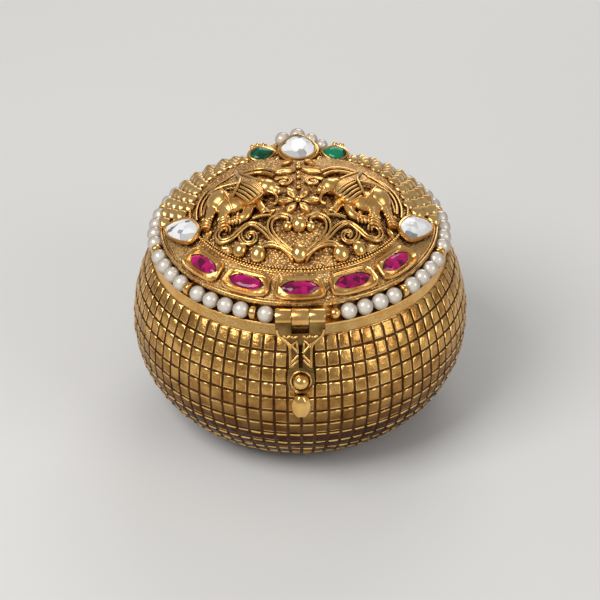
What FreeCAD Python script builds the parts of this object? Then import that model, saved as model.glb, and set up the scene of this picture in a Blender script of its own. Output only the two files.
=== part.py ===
"""Round hinged box in the temple-jewellery style: chased bowl, domed lid, pearl string and hasp.

Millimetres and degrees. The origin is the centre of the flat base, +Z is up and the hasp faces -Y.
Angles around the box start at the front and grow towards +X.
"""
import FreeCAD
import Part
import Sketcher
import math
import os
import re
from FreeCAD import Placement, Rotation, Vector

doc = FreeCAD.newDocument("paan_box")

# Driving dimensions, one plain number to a cell
SIZES = [
    # The pearl string sets the box's width: each other radius follows from it by a step
    ("string_radius", 33.0), ("neck_flare", 0.9), ("belly_swell", 4.6), ("foot_tuck", 14.5),
    # Bowl: two arcs meet at the belly, in rows and columns of flat chased squares
    ("belly_height", 22.0), ("neck_height", 39.3), ("bowl_wall", 1.2), ("floor_thickness", 1.6),
    ("below_belly_row_count", 8), ("above_belly_row_count", 5), ("bowl_column_count", 80),
    ("inner_row_count", 2), ("inner_column_count", 40), ("overrun", 1.0),
    # Mouth: a polished collar whose lip stands up inside the lid
    ("collar_height", 2.075), ("collar_taper", 0.7), ("lip_thickness", 0.8), ("lip_height", 1.5),
    ("lip_clearance", 0.25), ("parting_gap", 0.1),
    # Lid: a domed field inside a sloping band, over a channel for the pearls
    ("lid_side_count", 48), ("dome_row_count", 4), ("ledge_thickness", 0.55), ("ledge_reach", 0.6),
    ("rim_wall", 0.9), ("band_rise", 2.15), ("band_edge", 0.6), ("band_inset", 1.2), ("band_width", 7.0),
    ("band_climb", 3.65), ("dome_rise", 5.3), ("lid_sheet", 0.9), ("bead_wire_width", 1.3), ("bead_wire_height", 0.7),
    # Pearl string: pearls in fours with a gold spacer between, on a square wire
    ("pearl_pitch_angle", 6.69), ("pearl_clearance", 0.05), ("pearl_side_count", 6),
    ("wire_side", 0.44), ("wire_run_count", 25), ("bore_clearance", 0.14),
    ("group_pearl_count", 4), ("side_group_count", 5), ("group_pitch_angle", 30.0),
    ("left_start_angle", 23.1), ("right_start_angle", 18.8), ("single_pearl_angle", 13.2),
    ("last_pearl_angle", 168.9), ("gold_ball_angle", 13.3), ("wire_end_angle", 172.5),
    ("spacer_radius", 1.5), ("spacer_gap", 0.23),
    # Rear hinge: two knuckles on the collar, one on the lid, and a pin
    ("hinge_barrel_radius", 1.8), ("hinge_pin_radius", 0.7), ("hinge_length", 15.0),
    ("hinge_middle", 5.6), ("hinge_gap", 0.3), ("hinge_side_gap", 0.1), ("running_clearance", 0.05),
    # Clasp: a barrel of three knuckles, a strap with an eye, and a ball stud in the wall
    ("clasp_barrel_radius", 2.0), ("clasp_reach", 0.7), ("clasp_rise", 0.2), ("clasp_end_gap", 0.2),
    ("clasp_middle", 3.8), ("clasp_side_gap", 0.08), ("clasp_pin_radius", 0.8), ("lug_height", 2.4),
    ("strap_thickness", 0.9), ("strap_gap", 0.35), ("strap_width", 5.3), ("shoulder_drop", 0.9),
    ("taper_length", 3.3), ("strap_bend_drop", 1.3), ("strap_tail", 2.4), ("strap_tip_width", 2.2),
    ("strap_run_count", 4), ("eye_width", 6.0), ("eye_clearance", 0.22), ("eye_side_count", 14),
    ("stud_height_share", 0.48), ("stud_tilt_angle", 14.0), ("stud_radius", 1.75), ("stud_standoff", 1.85),
    ("stem_radius", 0.8), ("stud_row_count", 5), ("stud_side_count", 10),
    ("rivet_radius", 1.5), ("rivet_thickness", 0.5), ("rivet_seat", 0.4),
    ("knob_width", 4.2), ("knob_depth", 3.4), ("knob_length", 5.4), ("knob_gap", 0.35),
    # Set stones on the band
    ("ruby_count", 5), ("ruby_pitch_angle", 24.3), ("ruby_cell_gap", 1.3), ("ruby_cell_margin", 0.55),
    ("ruby_cell_corner", 1.7), ("bezel_height", 0.9), ("bezel_rim", 0.75), ("bezel_root", 0.8),
    ("pocket_depth", 0.45), ("ruby_end_gap", 0.35), ("ruby_side_gap", 0.65), ("stone_height", 0.75),
    ("side_stone_gap", 1.0), ("side_stone_inset", 2.5), ("side_stone_width", 9.6),
    ("side_stone_depth", 6.8), ("side_bezel_rim", 1.1), ("side_bezel_height", 1.2),
    # Crest at the back of the lid
    ("crest_setback", 2.2), ("crest_plate_margin", 0.3), ("crest_plate_drop", 0.4),
    ("crest_stone_width", 8.0), ("crest_stone_length", 9.6), ("crest_bezel_rim", 0.9),
    ("crest_pocket_depth", 0.6), ("crest_stone_rise", 1.3), ("seat_gap", 0.1),
    ("emerald_reach", 0.2), ("emerald_gap", 0.4), ("emerald_radius", 2.65), ("emerald_side_count", 10),
    ("emerald_bezel_rim", 0.8), ("emerald_rise", 0.6), ("crest_bead_radius", 0.75),
    ("crest_bead_pitch_angle", 26.0), ("crest_pearl_radius", 1.7), ("crest_pearl_count", 4),
    ("crest_pearl_first_angle", -29.0), ("crest_pearl_pitch_angle", 26.0),
    # Pointed studs in three rows on the band
    ("stud_band_row_count", 3), ("row_stud_count", 8), ("row_end_gap", 0.2),
    ("row_inset", 1.3), ("row_gap", 0.12), ("band_stud_height", 1.0),
    # Relief on the field, in places and sizes that are shares of the field's radius
    ("relief_low", 0.9), ("elephant_low", 1.5), ("elephant_high", 2.4), ("line_width", 0.9), ("granule_radius", 1.7),
    ("small_granule_share", 0.68), ("elephant_spread_share", 0.548), ("elephant_setback_share", 0.01),
    ("elephant_length_share", 0.645), ("elephant_height_share", 0.625), ("elephant_head_share", 0.08),
    ("flower_setback_share", -0.157), ("flower_reach_share", 0.2), ("flower_petal_count", 6),
    ("petal_width_share", 0.088), ("heart_setback_share", -0.56), ("heart_width_share", 0.55),
    ("heart_length_share", 0.484), ("scroll_spread_share", 0.508), ("scroll_setback_share", -0.524),
    ("scroll_reach_share", 0.177), ("scroll_eye_share", 0.28), ("scroll_turn_count", 1.2),
    ("tip_granule_setback_share", -0.82), ("inner_granule_spread_share", 0.367),
    ("inner_granule_setback_share", -0.782), ("outer_granule_spread_share", 0.536),
    ("outer_granule_setback_share", -0.71), ("top_granule_setback_share", -0.5),
    ("top_granule_pitch_share", 0.112), ("frame_inset", 1.3), ("frame_gap", 1.0), ("frame_last_angle", 118.0),
]

# Sizes that follow from the driving ones
DERIVED = {
    "neck_radius": "(string_radius + neck_flare)",
    "belly_radius": "(neck_radius + belly_swell)",
    "foot_radius": "(belly_radius - foot_tuck)",
    "neck_span": "(neck_height - belly_height)",
    "foot_arc": "((belly_height^2 + foot_tuck^2) / (2 * foot_tuck))",
    "neck_arc": "((neck_span^2 + belly_swell^2) / (2 * belly_swell))",
    "foot_turn": "asin(belly_height / foot_arc)",
    "neck_turn": "asin(neck_span / neck_arc)",
    "floor_turn": "asin((belly_height - floor_thickness) / (foot_arc - bowl_wall))",
    "neck_wall_turn": "asin(neck_span / (neck_arc - bowl_wall))",
    "collar_top": "(neck_height + collar_height)",
    "collar_top_radius": "(neck_radius - collar_taper)",
    "pearl_radius": "(string_radius * sin(pearl_pitch_angle / 2))",
    "gold_ball_radius": "(string_radius * sin(right_start_angle - gold_ball_angle - pearl_pitch_angle / 2))",
    "spacer_length": "(string_radius * sin(group_pitch_angle - group_pearl_count * pearl_pitch_angle) - 2 * spacer_gap)",
    "ledge_bottom": "(collar_top + parting_gap)",
    "ledge_top": "(ledge_bottom + ledge_thickness)",
    "pearl_height": "(ledge_top + pearl_clearance + pearl_radius)",
    "rim_outer": "(string_radius - pearl_radius - pearl_clearance)",
    "rim_inner": "(rim_outer - rim_wall)",
    "lip_outer": "(rim_inner - lip_clearance)",
    "mouth_radius": "(lip_outer - lip_thickness)",
    "ledge_radius": "(string_radius + ledge_reach)",
    "band_radius": "(string_radius - band_inset)",
    "band_height": "(pearl_height + band_rise)",
    "rim_top": "(band_height - band_edge)",
    "field_radius": "(band_radius - band_width)",
    "field_height": "(band_height + band_climb)",
    "apex_height": "(field_height + dome_rise)",
    "field_sphere": "((field_radius^2 + dome_rise^2) / (2 * dome_rise))",
    "sphere_centre": "(apex_height - field_sphere)",
    "field_turn": "asin(field_radius / field_sphere)",
    "band_slope": "atan(band_climb / band_width)",
    "hinge_distance": "(ledge_radius + hinge_gap + hinge_barrel_radius)",
    "hinge_height": "(ledge_bottom - parting_gap / 2)",
    "clasp_distance": "(string_radius + clasp_reach)",
    "clasp_height": "(pearl_height + clasp_rise)",
    "clasp_length": "(2 * (string_radius * sin(single_pearl_angle - pearl_pitch_angle / 2) - clasp_end_gap))",
    "shoulder_height": "(clasp_height - clasp_barrel_radius - shoulder_drop)",
    "taper_height": "(shoulder_height - taper_length)",
    "stud_height": "(belly_height + stud_height_share * neck_span)",
    "strap_bend_height": "(stud_height - strap_bend_drop)",
    "strap_end_height": "(stud_height - strap_tail)",
    "strap_back": "(clasp_distance + clasp_barrel_radius - strap_thickness)",
    "arc_centre": "(belly_radius - neck_arc)",
    "strap_arc": "(neck_arc + strap_gap)",
    "strap_first_turn": "acos((strap_back - arc_centre) / strap_arc)",
    "strap_last_turn": "asin((strap_bend_height - belly_height) / strap_arc)",
    "knob_distance": "(belly_radius + knob_gap + knob_depth / 2)",
    "stud_reach": "(arc_centre + sqrt(neck_arc^2 - (stud_height - belly_height)^2))",
    "eye_radius": "(stud_radius + eye_clearance)",
    "bore_side": "(wire_side + 2 * bore_clearance)",
    "ruby_cell_radius": "(field_radius + band_width / 2)",
    "ruby_cell_width": "(2 * ruby_cell_radius * sin(ruby_pitch_angle / 2) - ruby_cell_gap)",
    "ruby_cell_depth": "(band_width - 2 * ruby_cell_margin)",
    "ruby_width": "(ruby_cell_width - 2 * bezel_rim - 2 * ruby_end_gap)",
    "ruby_depth": "(ruby_cell_depth - 2 * bezel_rim - 2 * ruby_side_gap)",
    "side_stone_distance": "(field_radius + side_stone_inset)",
    "side_bezel_reach": "(side_stone_width / 2 + side_bezel_rim)",
    "ruby_row_end_angle": "(ruby_count * ruby_pitch_angle * 1 deg / 2)",
    "side_stone_angle": "(ruby_row_end_angle + asin((side_bezel_reach + side_stone_gap) / side_stone_distance))",
    "row_start_angle": "(side_stone_angle + asin((side_bezel_reach + row_end_gap) / side_stone_distance))",
    "crest_distance": "(field_radius - crest_setback)",
    "crest_plate_height": "(field_height - crest_plate_drop)",
    "crest_pearl_reach": "(crest_stone_length / 2 + crest_bezel_rim + crest_pearl_radius + 2 * seat_gap)",
    "crest_plate_radius": "(crest_pearl_reach + crest_pearl_radius + crest_plate_margin)",
    "emerald_distance": "(field_radius + emerald_reach)",
    "emerald_bezel_radius": "(emerald_radius + emerald_bezel_rim)",
    "emerald_offset": "(crest_stone_width / 2 + crest_bezel_rim + emerald_bezel_radius + emerald_gap)",
    "emerald_angle": "(180 deg - asin(emerald_offset / emerald_distance))",
    "row_end_angle": "(emerald_angle - asin((emerald_bezel_radius + row_end_gap) / emerald_distance))",
}


def make_sheet():
    """The sheet of driving dimensions, a name and a number to each row."""
    made = doc.addObject("Spreadsheet::Sheet", "Sizes")
    for row, (name, number) in enumerate(SIZES, start=1):
        made.set("A%d" % row, name)
        made.set("B%d" % row, str(number))
        made.setAlias("B%d" % row, name)
    doc.recompute()
    return made


sheet = make_sheet()
NAME = re.compile(r"\b[a-z]+(?:_[a-z]+)+\b")
nodes = {}


def full(text):
    """An expression with each derived name worked out and each driving name given as a cell."""
    def swap(match):
        name = match.group(0)
        return full(DERIVED[name]) if name in DERIVED else "Sizes." + name
    return NAME.sub(swap, str(text))


def num(text):
    """The number that an expression of named sizes stands for."""
    found = sheet.evalExpression(full(text))
    return float(getattr(found, "Value", found))


def count(name):
    """A whole number from the sheet."""
    return int(round(num(name)))


def keep(name, item):
    """Names a finished piece, which is also its file's name."""
    item.Label = name
    nodes[name] = item
    return item


def feature(name, shape, place=None):
    """A piece whose shape is made with Part's own functions from the sheet's sizes."""
    item = doc.addObject("Part::Feature", name)
    item.Shape = shape
    if place is not None:
        item.Placement = place
    return keep(name, item)


def outline(body, name, role, points):
    """A closed outline of straight lines whose corners are bound to expressions."""
    sketch = body.newObject("Sketcher::SketchObject", name)
    plane = next(item for item in body.Origin.OriginFeatures if item.Role == role)
    sketch.AttachmentSupport = [(plane, "")]
    sketch.MapMode = "FlatFace"
    corners = [Vector(num(across), num(up), 0) for across, up in points]
    total = len(points)
    for index in range(total):
        sketch.addGeometry(Part.LineSegment(corners[index], corners[(index + 1) % total]), False)
    for index in range(total):
        sketch.addConstraint(Sketcher.Constraint("Coincident", index, 2, (index + 1) % total, 1))
    for index, pair in enumerate(points):
        for kind, text in zip(("DistanceX", "DistanceY"), pair):
            number = sketch.addConstraint(Sketcher.Constraint(kind, -1, 1, index, 1, num(text)))
            sketch.setExpression("Constraints[%d]" % number, full(text))
    return sketch


def plate(label, role, points, length):
    """A straight pad, the same to both sides of one of the body's planes."""
    body = doc.addObject("PartDesign::Body", label)
    pad = body.newObject("PartDesign::Pad", label + "_pad")
    pad.Profile = outline(body, label + "_outline", role, points)
    pad.SideType = "Symmetric"
    pad.setExpression("Length", full(length))
    return body


def block(label, low, high):
    """A box between two corners given as expressions."""
    item = doc.addObject("Part::Box", label)
    for side, axis, start, end in zip(("Length", "Width", "Height"), "xyz", low, high):
        item.setExpression(side, full("(%s) - (%s)" % (end, start)))
        item.setExpression("Placement.Base." + axis, full(start))
    return item


def facet_disc(label, radius, low, high):
    """An upright disc with as many flat sides as the lid."""
    item = doc.addObject("Part::Prism", label)
    item.setExpression("Polygon", full("lid_side_count"))
    item.setExpression("Circumradius", full(radius))
    item.setExpression("Height", full("(%s) - (%s)" % (high, low)))
    item.Placement = Placement(Vector(), Rotation(Vector(0, 0, 1), 180 / num("lid_side_count")))
    item.setExpression("Placement.Base.z", full(low))
    return item


def rod(label, radius, start, end, across, up):
    """A round bar along X at a distance across and a height."""
    item = doc.addObject("Part::Cylinder", label)
    item.Placement = Placement(Vector(), Rotation(Vector(0, 1, 0), 90))
    item.setExpression("Radius", full(radius))
    item.setExpression("Height", full("(%s) - (%s)" % (end, start)))
    for axis, text in zip("xyz", (start, across, up)):
        item.setExpression("Placement.Base." + axis, full(text))
    return item


def cut(label, base, tool):
    """One piece less another."""
    item = doc.addObject("Part::Cut", label)
    item.Base = base
    item.Tool = tool
    return item


def fuse(label, *items):
    """Several pieces made one."""
    item = doc.addObject("Part::MultiFuse", label)
    item.Shapes = list(items)
    return item


# Shapes made from planar facets and plan outlines
def stack(points, levels):
    """A closed solid of flat facets: one plan outline at several scales and heights."""
    rings = [[Vector(x * scale, y * scale, z) for x, y in points] for scale, z in levels]
    sides = len(points)
    loops = [rings[0], rings[-1]]
    for low, high in zip(rings, rings[1:]):
        for side in range(sides):
            after = (side + 1) % sides
            loops.append([low[side], low[after], high[after], high[side]])
    shell = Part.makeShell([Part.Face(Part.makePolygon(loop + loop[:1])) for loop in loops])
    shell.sewShape()
    solid = Part.makeSolid(shell)
    if solid.Volume < 0:
        solid.reverse()
    return solid


def ring_points(radius, sides, depth=None):
    """A regular outline with flat sides, or an oval one where a depth is given."""
    tall = radius if depth is None else depth
    steps = [(index + 0.5) * 2 * math.pi / sides for index in range(sides)]
    return [(radius * math.cos(step), tall * math.sin(step)) for step in steps]


def prism(points, low, high):
    """An upright bar on a plan outline of straight lines."""
    return stack(points, [(1, low), (1, high)])


def pointed(points, low, high):
    """A pyramid on a plan outline centred on its origin."""
    base = [Vector(x, y, low) for x, y in points]
    tip = Vector(0, 0, high)
    loops = [base] + [[start, end, tip] for start, end in zip(base, base[1:] + base[:1])]
    shell = Part.makeShell([Part.Face(Part.makePolygon(loop + loop[:1])) for loop in loops])
    shell.sewShape()
    solid = Part.makeSolid(shell)
    if solid.Volume < 0:
        solid.reverse()
    return solid


def ribbon(path, width, low, high):
    """An upright band of even width along a plan path."""
    left, right = [], []
    last = len(path) - 1
    for index, (x, y) in enumerate(path):
        before = path[max(index - 1, 0)]
        after = path[min(index + 1, last)]
        run = Vector(after[0] - before[0], after[1] - before[1], 0).normalize()
        left.append((x - run.y * width / 2, y + run.x * width / 2))
        right.append((x + run.y * width / 2, y - run.x * width / 2))
    return prism(left + right[::-1], low, high)


def lathe(levels, sides):
    """A turned form in flat facets from pairs of radius and height."""
    return stack(ring_points(1, sides), levels)


def around(angle, radius, height=0.0):
    """The point at an angle from the front, a radius and a height."""
    turn = math.radians(angle)
    return Vector(radius * math.sin(turn), -radius * math.cos(turn), height)


def facing(angle, radius, height):
    """A place whose Y axis points at the box's axis and whose X axis runs around it."""
    return Placement(around(angle, radius, height), Rotation(Vector(0, 0, 1), angle))


def band_surface(radius):
    """The band's height at a radius."""
    return num("band_height") + (num("band_radius") - radius) * math.tan(math.radians(num("band_slope")))


def on_band(angle, radius):
    """A place on the band: Z stands off it and Y climbs to the field."""
    tilt = Rotation(Vector(1, 0, 0), num("band_slope"))
    return facing(angle, radius, band_surface(radius)).multiply(Placement(Vector(), tilt))


def field_surface(x, y):
    """The dome's height over a plan point."""
    return num("sphere_centre") + math.sqrt(num("field_sphere") ** 2 - x * x - y * y)


def of_field(name):
    """A place or size on the field from its share of the field's radius."""
    return num(name + "_share") * num("field_radius")


def dome_levels(lift):
    """Rings of the dome from its edge to its top, raised by a lift."""
    facets, whole = count("dome_row_count"), math.radians(num("field_turn"))
    reach = num("field_sphere") + lift
    top_share = 0.3
    shares = [step / facets for step in range(facets, 0, -1)] + [top_share / facets]
    return [(reach * math.sin(share * whole), num("sphere_centre") + reach * math.cos(share * whole))
            for share in shares]


def lid_core(foot):
    """Everything under the lid's outer faces down to a height."""
    edge = num("band_radius")
    return lathe([(edge, foot), (edge, num("band_height"))] + dome_levels(0), count("lid_side_count"))


def field_layer(lift):
    """The dome raised by a lift, as a solid that reaches down past the field."""
    levels = dome_levels(lift)
    return lathe([(levels[0][0], num("ledge_bottom"))] + levels, count("lid_side_count"))


core = lid_core(num("ledge_bottom"))


def relief(prisms, lift):
    """Upright bars trimmed to a layer of even thickness on the dome."""
    joined = prisms[0].multiFuse(prisms[1:]) if len(prisms) > 1 else prisms[0]
    return joined.common(field_layer(lift)).cut(core)


def merge(shapes):
    """Touching solids made one, with leftover seams removed."""
    return shapes[0].multiFuse(shapes[1:]).removeSplitter()


def faceted_ball(radius, bore=0.0):
    """A pearl or bead in flat facets about its X axis, drilled square where a bore is given."""
    flat = radius - num("pearl_clearance")
    belt_share, tip_share, belt_length_share = 1.0, 0.42, 0.45
    levels = [(tip_share, -flat), (belt_share, -belt_length_share * radius),
              (belt_share, belt_length_share * radius), (tip_share, flat)]
    sides = count("pearl_side_count")
    solid = stack(ring_points(radius, sides), levels)
    solid.rotate(Vector(), Vector(0, 0, 1), 180 / sides)
    if bore:
        solid = solid.cut(Part.makeBox(bore, bore, 4 * radius, Vector(-bore / 2, -bore / 2, -2 * radius)))
    solid.rotate(Vector(), Vector(0, 1, 0), 90)
    return solid


# Bowl
def arc_rings(rows, wall, name, whole, first=0):
    """Rings of one of the bowl's arcs, from the belly outwards, inside it by a wall."""
    arc, turn = num(name) - wall, math.radians(num(whole))
    rise = 1 if name == "neck_arc" else -1
    return [(num("belly_radius") - num(name) + arc * math.cos(turn * row / rows),
             num("belly_height") + rise * arc * math.sin(turn * row / rows)) for row in range(first, rows + 1)]


def make_bowl():
    """The chased bowl: a grid of flat squares outside, a plainer inside, and a hole for the stud."""
    below, above, inner = (count(name) for name in ("below_belly_row_count", "above_belly_row_count", "inner_row_count"))
    wall = num("bowl_wall")
    outside = arc_rings(below, 0, "foot_arc", "foot_turn")[::-1] + arc_rings(above, 0, "neck_arc", "neck_turn", 1)
    inside = arc_rings(inner + 1, wall, "foot_arc", "floor_turn")[::-1]
    inside += arc_rings(inner, wall, "neck_arc", "neck_wall_turn", 1)
    inside.append((inside[-1][0], inside[-1][1] + num("overrun")))
    shell = lathe(outside, count("bowl_column_count")).cut(lathe(inside, count("inner_column_count")))
    hole = lathe([(num("stem_radius + running_clearance"), height) for height in (-2 * wall, 2 * wall)],
                 count("stud_side_count"))
    hole.Placement = stud_place()
    feature("bowl_shell", shell.cut(hole))


def stud_place():
    """Where the stud leaves the bowl, with Z along its stem."""
    tilt = Rotation(Vector(1, 0, 0), 90 - num("stud_tilt_angle"))
    return Placement(Vector(0, -num("stud_reach"), num("stud_height")), tilt)


def make_collar():
    """The polished collar and the lip that stands up inside the lid."""
    sides = count("lid_side_count")
    foot, top, lip_top = num("neck_height"), num("collar_top"), num("collar_top + lip_height")
    collar = lathe([(num("neck_radius"), foot), (num("collar_top_radius"), top)], sides)
    lip = lathe([(num("lip_outer"), foot), (num("lip_outer"), lip_top)], sides)
    mouth = lathe([(num("mouth_radius"), foot - num("overrun")), (num("mouth_radius"), lip_top + num("overrun"))],
                  sides)
    feature("mouth_collar", collar.fuse(lip).cut(mouth).removeSplitter())


def make_rear_hinge():
    """Two knuckles on the collar, one on the lid, and their pin."""
    half = "hinge_length / 2"
    middle = "hinge_middle / 2"
    place = ("hinge_distance", "hinge_height")
    gap = middle + " + hinge_side_gap"
    web = block("hinge_web", ("-" + half, "lip_outer + lip_thickness", "hinge_height - hinge_barrel_radius"),
                (half, "hinge_distance", "collar_top"))
    ears = fuse("hinge_ears", rod("ear_barrel", "hinge_barrel_radius", "-" + half, half, *place), web)
    low = "hinge_height - 2 * hinge_barrel_radius"
    slot = block("hinge_slot", ("-(%s)" % gap, "0", low), (gap, "2 * hinge_distance", "band_height"))
    bore = rod("ear_bore", "hinge_pin_radius + running_clearance", "-" + half, half, *place)
    keep("rear_hinge_knuckles", cut("rear_hinge_knuckles", ears, fuse("ear_waste", slot, bore, nodes["mouth_collar"])))
    keep("rear_hinge_pin", rod("rear_hinge_pin", "hinge_pin_radius", "-" + half, half, *place))
    leaf_web = block("leaf_web", ("-" + middle, "rim_outer - rim_wall / 2", "ledge_top"),
                     (middle, "hinge_distance", "hinge_height + hinge_barrel_radius"))
    leaf = fuse("leaf_whole", rod("leaf_barrel", "hinge_barrel_radius", "-" + middle, middle, *place), leaf_web)
    leaf_bore = rod("leaf_bore", "hinge_pin_radius + running_clearance", "-" + middle, middle, *place)
    keep("lid_hinge_leaf", cut("lid_hinge_leaf", leaf, fuse("leaf_waste", leaf_bore, nodes["lid_rim"])))


def make_stud():
    """The ball stud, riveted through the bowl's wall."""
    inside = -(num("bowl_wall") + num("rivet_seat"))
    ball, stem, facets = num("stud_radius"), num("stem_radius"), count("stud_row_count")
    levels = [(num("rivet_radius"), inside - num("rivet_thickness")), (num("rivet_radius"), inside), (stem, inside)]
    first, last_share = -math.acos(stem / ball), 0.93
    last = last_share * math.pi / 2
    for step in range(facets + 1):
        turn = first + (last - first) * step / facets
        levels.append((ball * math.cos(turn), num("stud_standoff") + ball * math.sin(turn)))
    feature("clasp_stud", lathe(levels, count("stud_side_count")), stud_place())


# Lid
def make_lid():
    """The domed sheet with its band, the channel under it and the wire between field and band."""
    sides, sheet_depth = count("lid_side_count"), num("lid_sheet")
    inner, under = num("rim_inner"), num("rim_top")
    hollow = [(inner, under - num("overrun")),
              (inner, num("band_height - lid_sheet + (band_radius - rim_inner) * tan(band_slope)"))]
    hollow += [ring for ring in dome_levels(-sheet_depth)[::2]]
    feature("lid_shell", lid_core(under).cut(lathe(hollow, sides // 2)))
    rim = fuse("rim_whole", facet_disc("rim_ledge", "ledge_radius", "ledge_bottom", "ledge_top"),
               facet_disc("rim_tube", "rim_outer", "ledge_bottom", "rim_top"))
    keep("lid_rim", cut("lid_rim", rim, facet_disc("rim_hollow", "rim_inner", "neck_height", "apex_height")))


def make_bead_wire():
    """The wire between field and band, let in around the stones that cross it."""
    sides = count("lid_side_count")
    middle, half, top = num("field_radius"), num("bead_wire_width") / 2, num("field_height + bead_wire_height")
    low = num("field_height") - num("bead_wire_width")
    ring = lathe([(middle + half, low), (middle + half, top - half), (middle, top)], sides)
    ring = ring.cut(lathe([(middle - half, low), (middle - half, top + half)], sides))
    ring = ring.cut(core)
    for name in ("side_bezel_left", "side_bezel_right", "crest_bezel", "crest_plate", "emerald_bezel_left",
                 "emerald_bezel_right", "crest_beads"):
        ring = ring.cut(nodes[name].Shape)
    feature("bead_wire", ring)


def make_pearls():
    """The pearls in groups, the gold spacers and the wire that carries them, in short straight runs."""
    height, radius = num("pearl_height"), num("string_radius")
    bore, pitch = num("bore_side"), num("pearl_pitch_angle")
    in_group = count("group_pearl_count")
    pearl = faceted_ball(num("pearl_radius"), bore)
    length = num("spacer_length")
    rondelle = stack(ring_points(num("spacer_radius"), count("pearl_side_count")), [(1, -length / 2), (1, length / 2)])
    rondelle = rondelle.cut(Part.makeBox(bore, bore, 4 * length, Vector(-bore / 2, -bore / 2, -2 * length)))
    rondelle.rotate(Vector(), Vector(0, 1, 0), 90)

    def at(shape, angle):
        strung = shape.copy()
        strung.Placement = facing(angle, radius, height).multiply(strung.Placement)
        return strung

    spacers = [at(faceted_ball(num("gold_ball_radius"), bore), num("gold_ball_angle"))]
    middle = (num("group_pitch_angle") + (in_group - 1) * pitch) / 2
    for side, sign in (("left", -1), ("right", 1)):
        start = num(side + "_start_angle")
        for group in range(count("side_group_count")):
            first = start + group * num("group_pitch_angle")
            pearls = [at(pearl, sign * (first + place * pitch)) for place in range(in_group)]
            feature("pearls_%s_%d" % (side, group + 1), Part.makeCompound(pearls))
            spacers.append(at(rondelle, sign * (first + middle)))
    spacers.append(at(rondelle, -(num("left_start_angle") + (in_group - 1) * pitch - middle)))
    feature("pearl_spacers", Part.makeCompound(spacers))
    single = at(pearl, -num("single_pearl_angle"))
    feature("pearls_single", Part.makeCompound([single, at(pearl, num("last_pearl_angle"))]))
    half, runs = num("wire_side") / 2, count("wire_run_count")
    first = math.degrees(math.asin((num("clasp_length / 2") + num("clasp_side_gap")) / radius))
    last = num("wire_end_angle")
    arcs = []
    for sign in (-1, 1):
        angles = [sign * (first + (last - first) * run / runs) for run in range(runs + 1)]
        path = [around(angle, radius) for angle in angles]
        arcs.append(ribbon([(point.x, point.y) for point in path], 2 * half, height - half, height + half))
    feature("pearl_wire", Part.makeCompound(arcs))


def cornered(width, depth, corner):
    """A rectangle whose corners are cut off in two flats."""
    x, y, inset = width / 2, depth / 2, corner * (1 - math.sqrt(0.5))
    quarter = [(x, y - corner), (x - inset, y - inset), (x - corner, y)]
    upper = quarter + [(-across, up) for across, up in reversed(quarter)]
    return upper + [(-across, -up) for across, up in upper]


def scaled_points(shares, width, depth):
    """A plan outline from shares of a width and a depth."""
    return [(across * width, up * depth) for across, up in shares]


# Outlines as shares of a width and a depth
MARQUISE_SHARES = [(0.5, 0), (0.3, 0.36), (0, 0.5), (-0.3, 0.36), (-0.5, 0), (-0.3, -0.36), (0, -0.5),
                   (0.3, -0.36)]
PEAR_SHARES = [(0.5, 0.06), (0.46, 0.34), (0.28, 0.5), (-0.02, 0.46), (-0.32, 0.24), (-0.5, -0.08),
               (-0.48, -0.38), (-0.2, -0.5), (0.16, -0.38), (0.4, -0.16)]
DROP_SHARES = [(0, 0.5), (0.26, 0.30), (0.46, 0.02), (0.46, -0.24), (0.26, -0.45), (0, -0.5),
               (-0.26, -0.45), (-0.46, -0.24), (-0.46, 0.02), (-0.26, 0.30)]
SQUARE_SHARES = [(0.5, 0.5), (-0.5, 0.5), (-0.5, -0.5), (0.5, -0.5)]
PETAL_SHARES = [(0.5, 0), (0.2, 0.5), (-0.2, 0.4), (-0.5, 0), (-0.2, -0.4), (0.2, -0.5)]
GRANULE_SHARES = [(1.0, -0.9), (1.0, 0.25), (0.75, 0.7), (0.3, 0.95)]
HEART_SHARES = [0.448, 0.172, 0.069, 0.034]
GEM_LEVEL_SHARES = [(1.0, 0.0), (0.96, 0.35), (0.55, 1.0)]
KNOB_SHARES = [(0.3, 0.5), (0.62, 0.3), (1.0, -0.06), (0.8, -0.36), (0.35, -0.5)]


def gem(points, low, rise):
    """A cut stone: a girdle, a crown of flat facets and a table."""
    return stack(points, [(scale, low + share * rise) for scale, share in GEM_LEVEL_SHARES])


def make_rubies():
    """Five collets around the front of the band, each with a marquise stone."""
    cells = count("ruby_count")
    rim, top = num("bezel_rim"), num("bezel_height")
    width, depth, corner = num("ruby_cell_width"), num("ruby_cell_depth"), num("ruby_cell_corner")
    floor = top - num("pocket_depth")
    collet = prism(cornered(width, depth, corner), -num("bezel_root"), top)
    collet = collet.cut(prism(cornered(width - 2 * rim, depth - 2 * rim, corner - rim), floor, 2 * top))
    stone = gem(scaled_points(MARQUISE_SHARES, num("ruby_width"), num("ruby_depth")), floor, num("stone_height"))
    for cell in range(cells):
        angle = (cell - (cells - 1) / 2) * num("ruby_pitch_angle")
        place = on_band(angle, num("ruby_cell_radius"))
        seated = collet.copy()
        seated.Placement = place
        feature("ruby_bezel_%d" % (cell + 1), seated.cut(core))
        feature("ruby_%d" % (cell + 1), stone, place)


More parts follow.
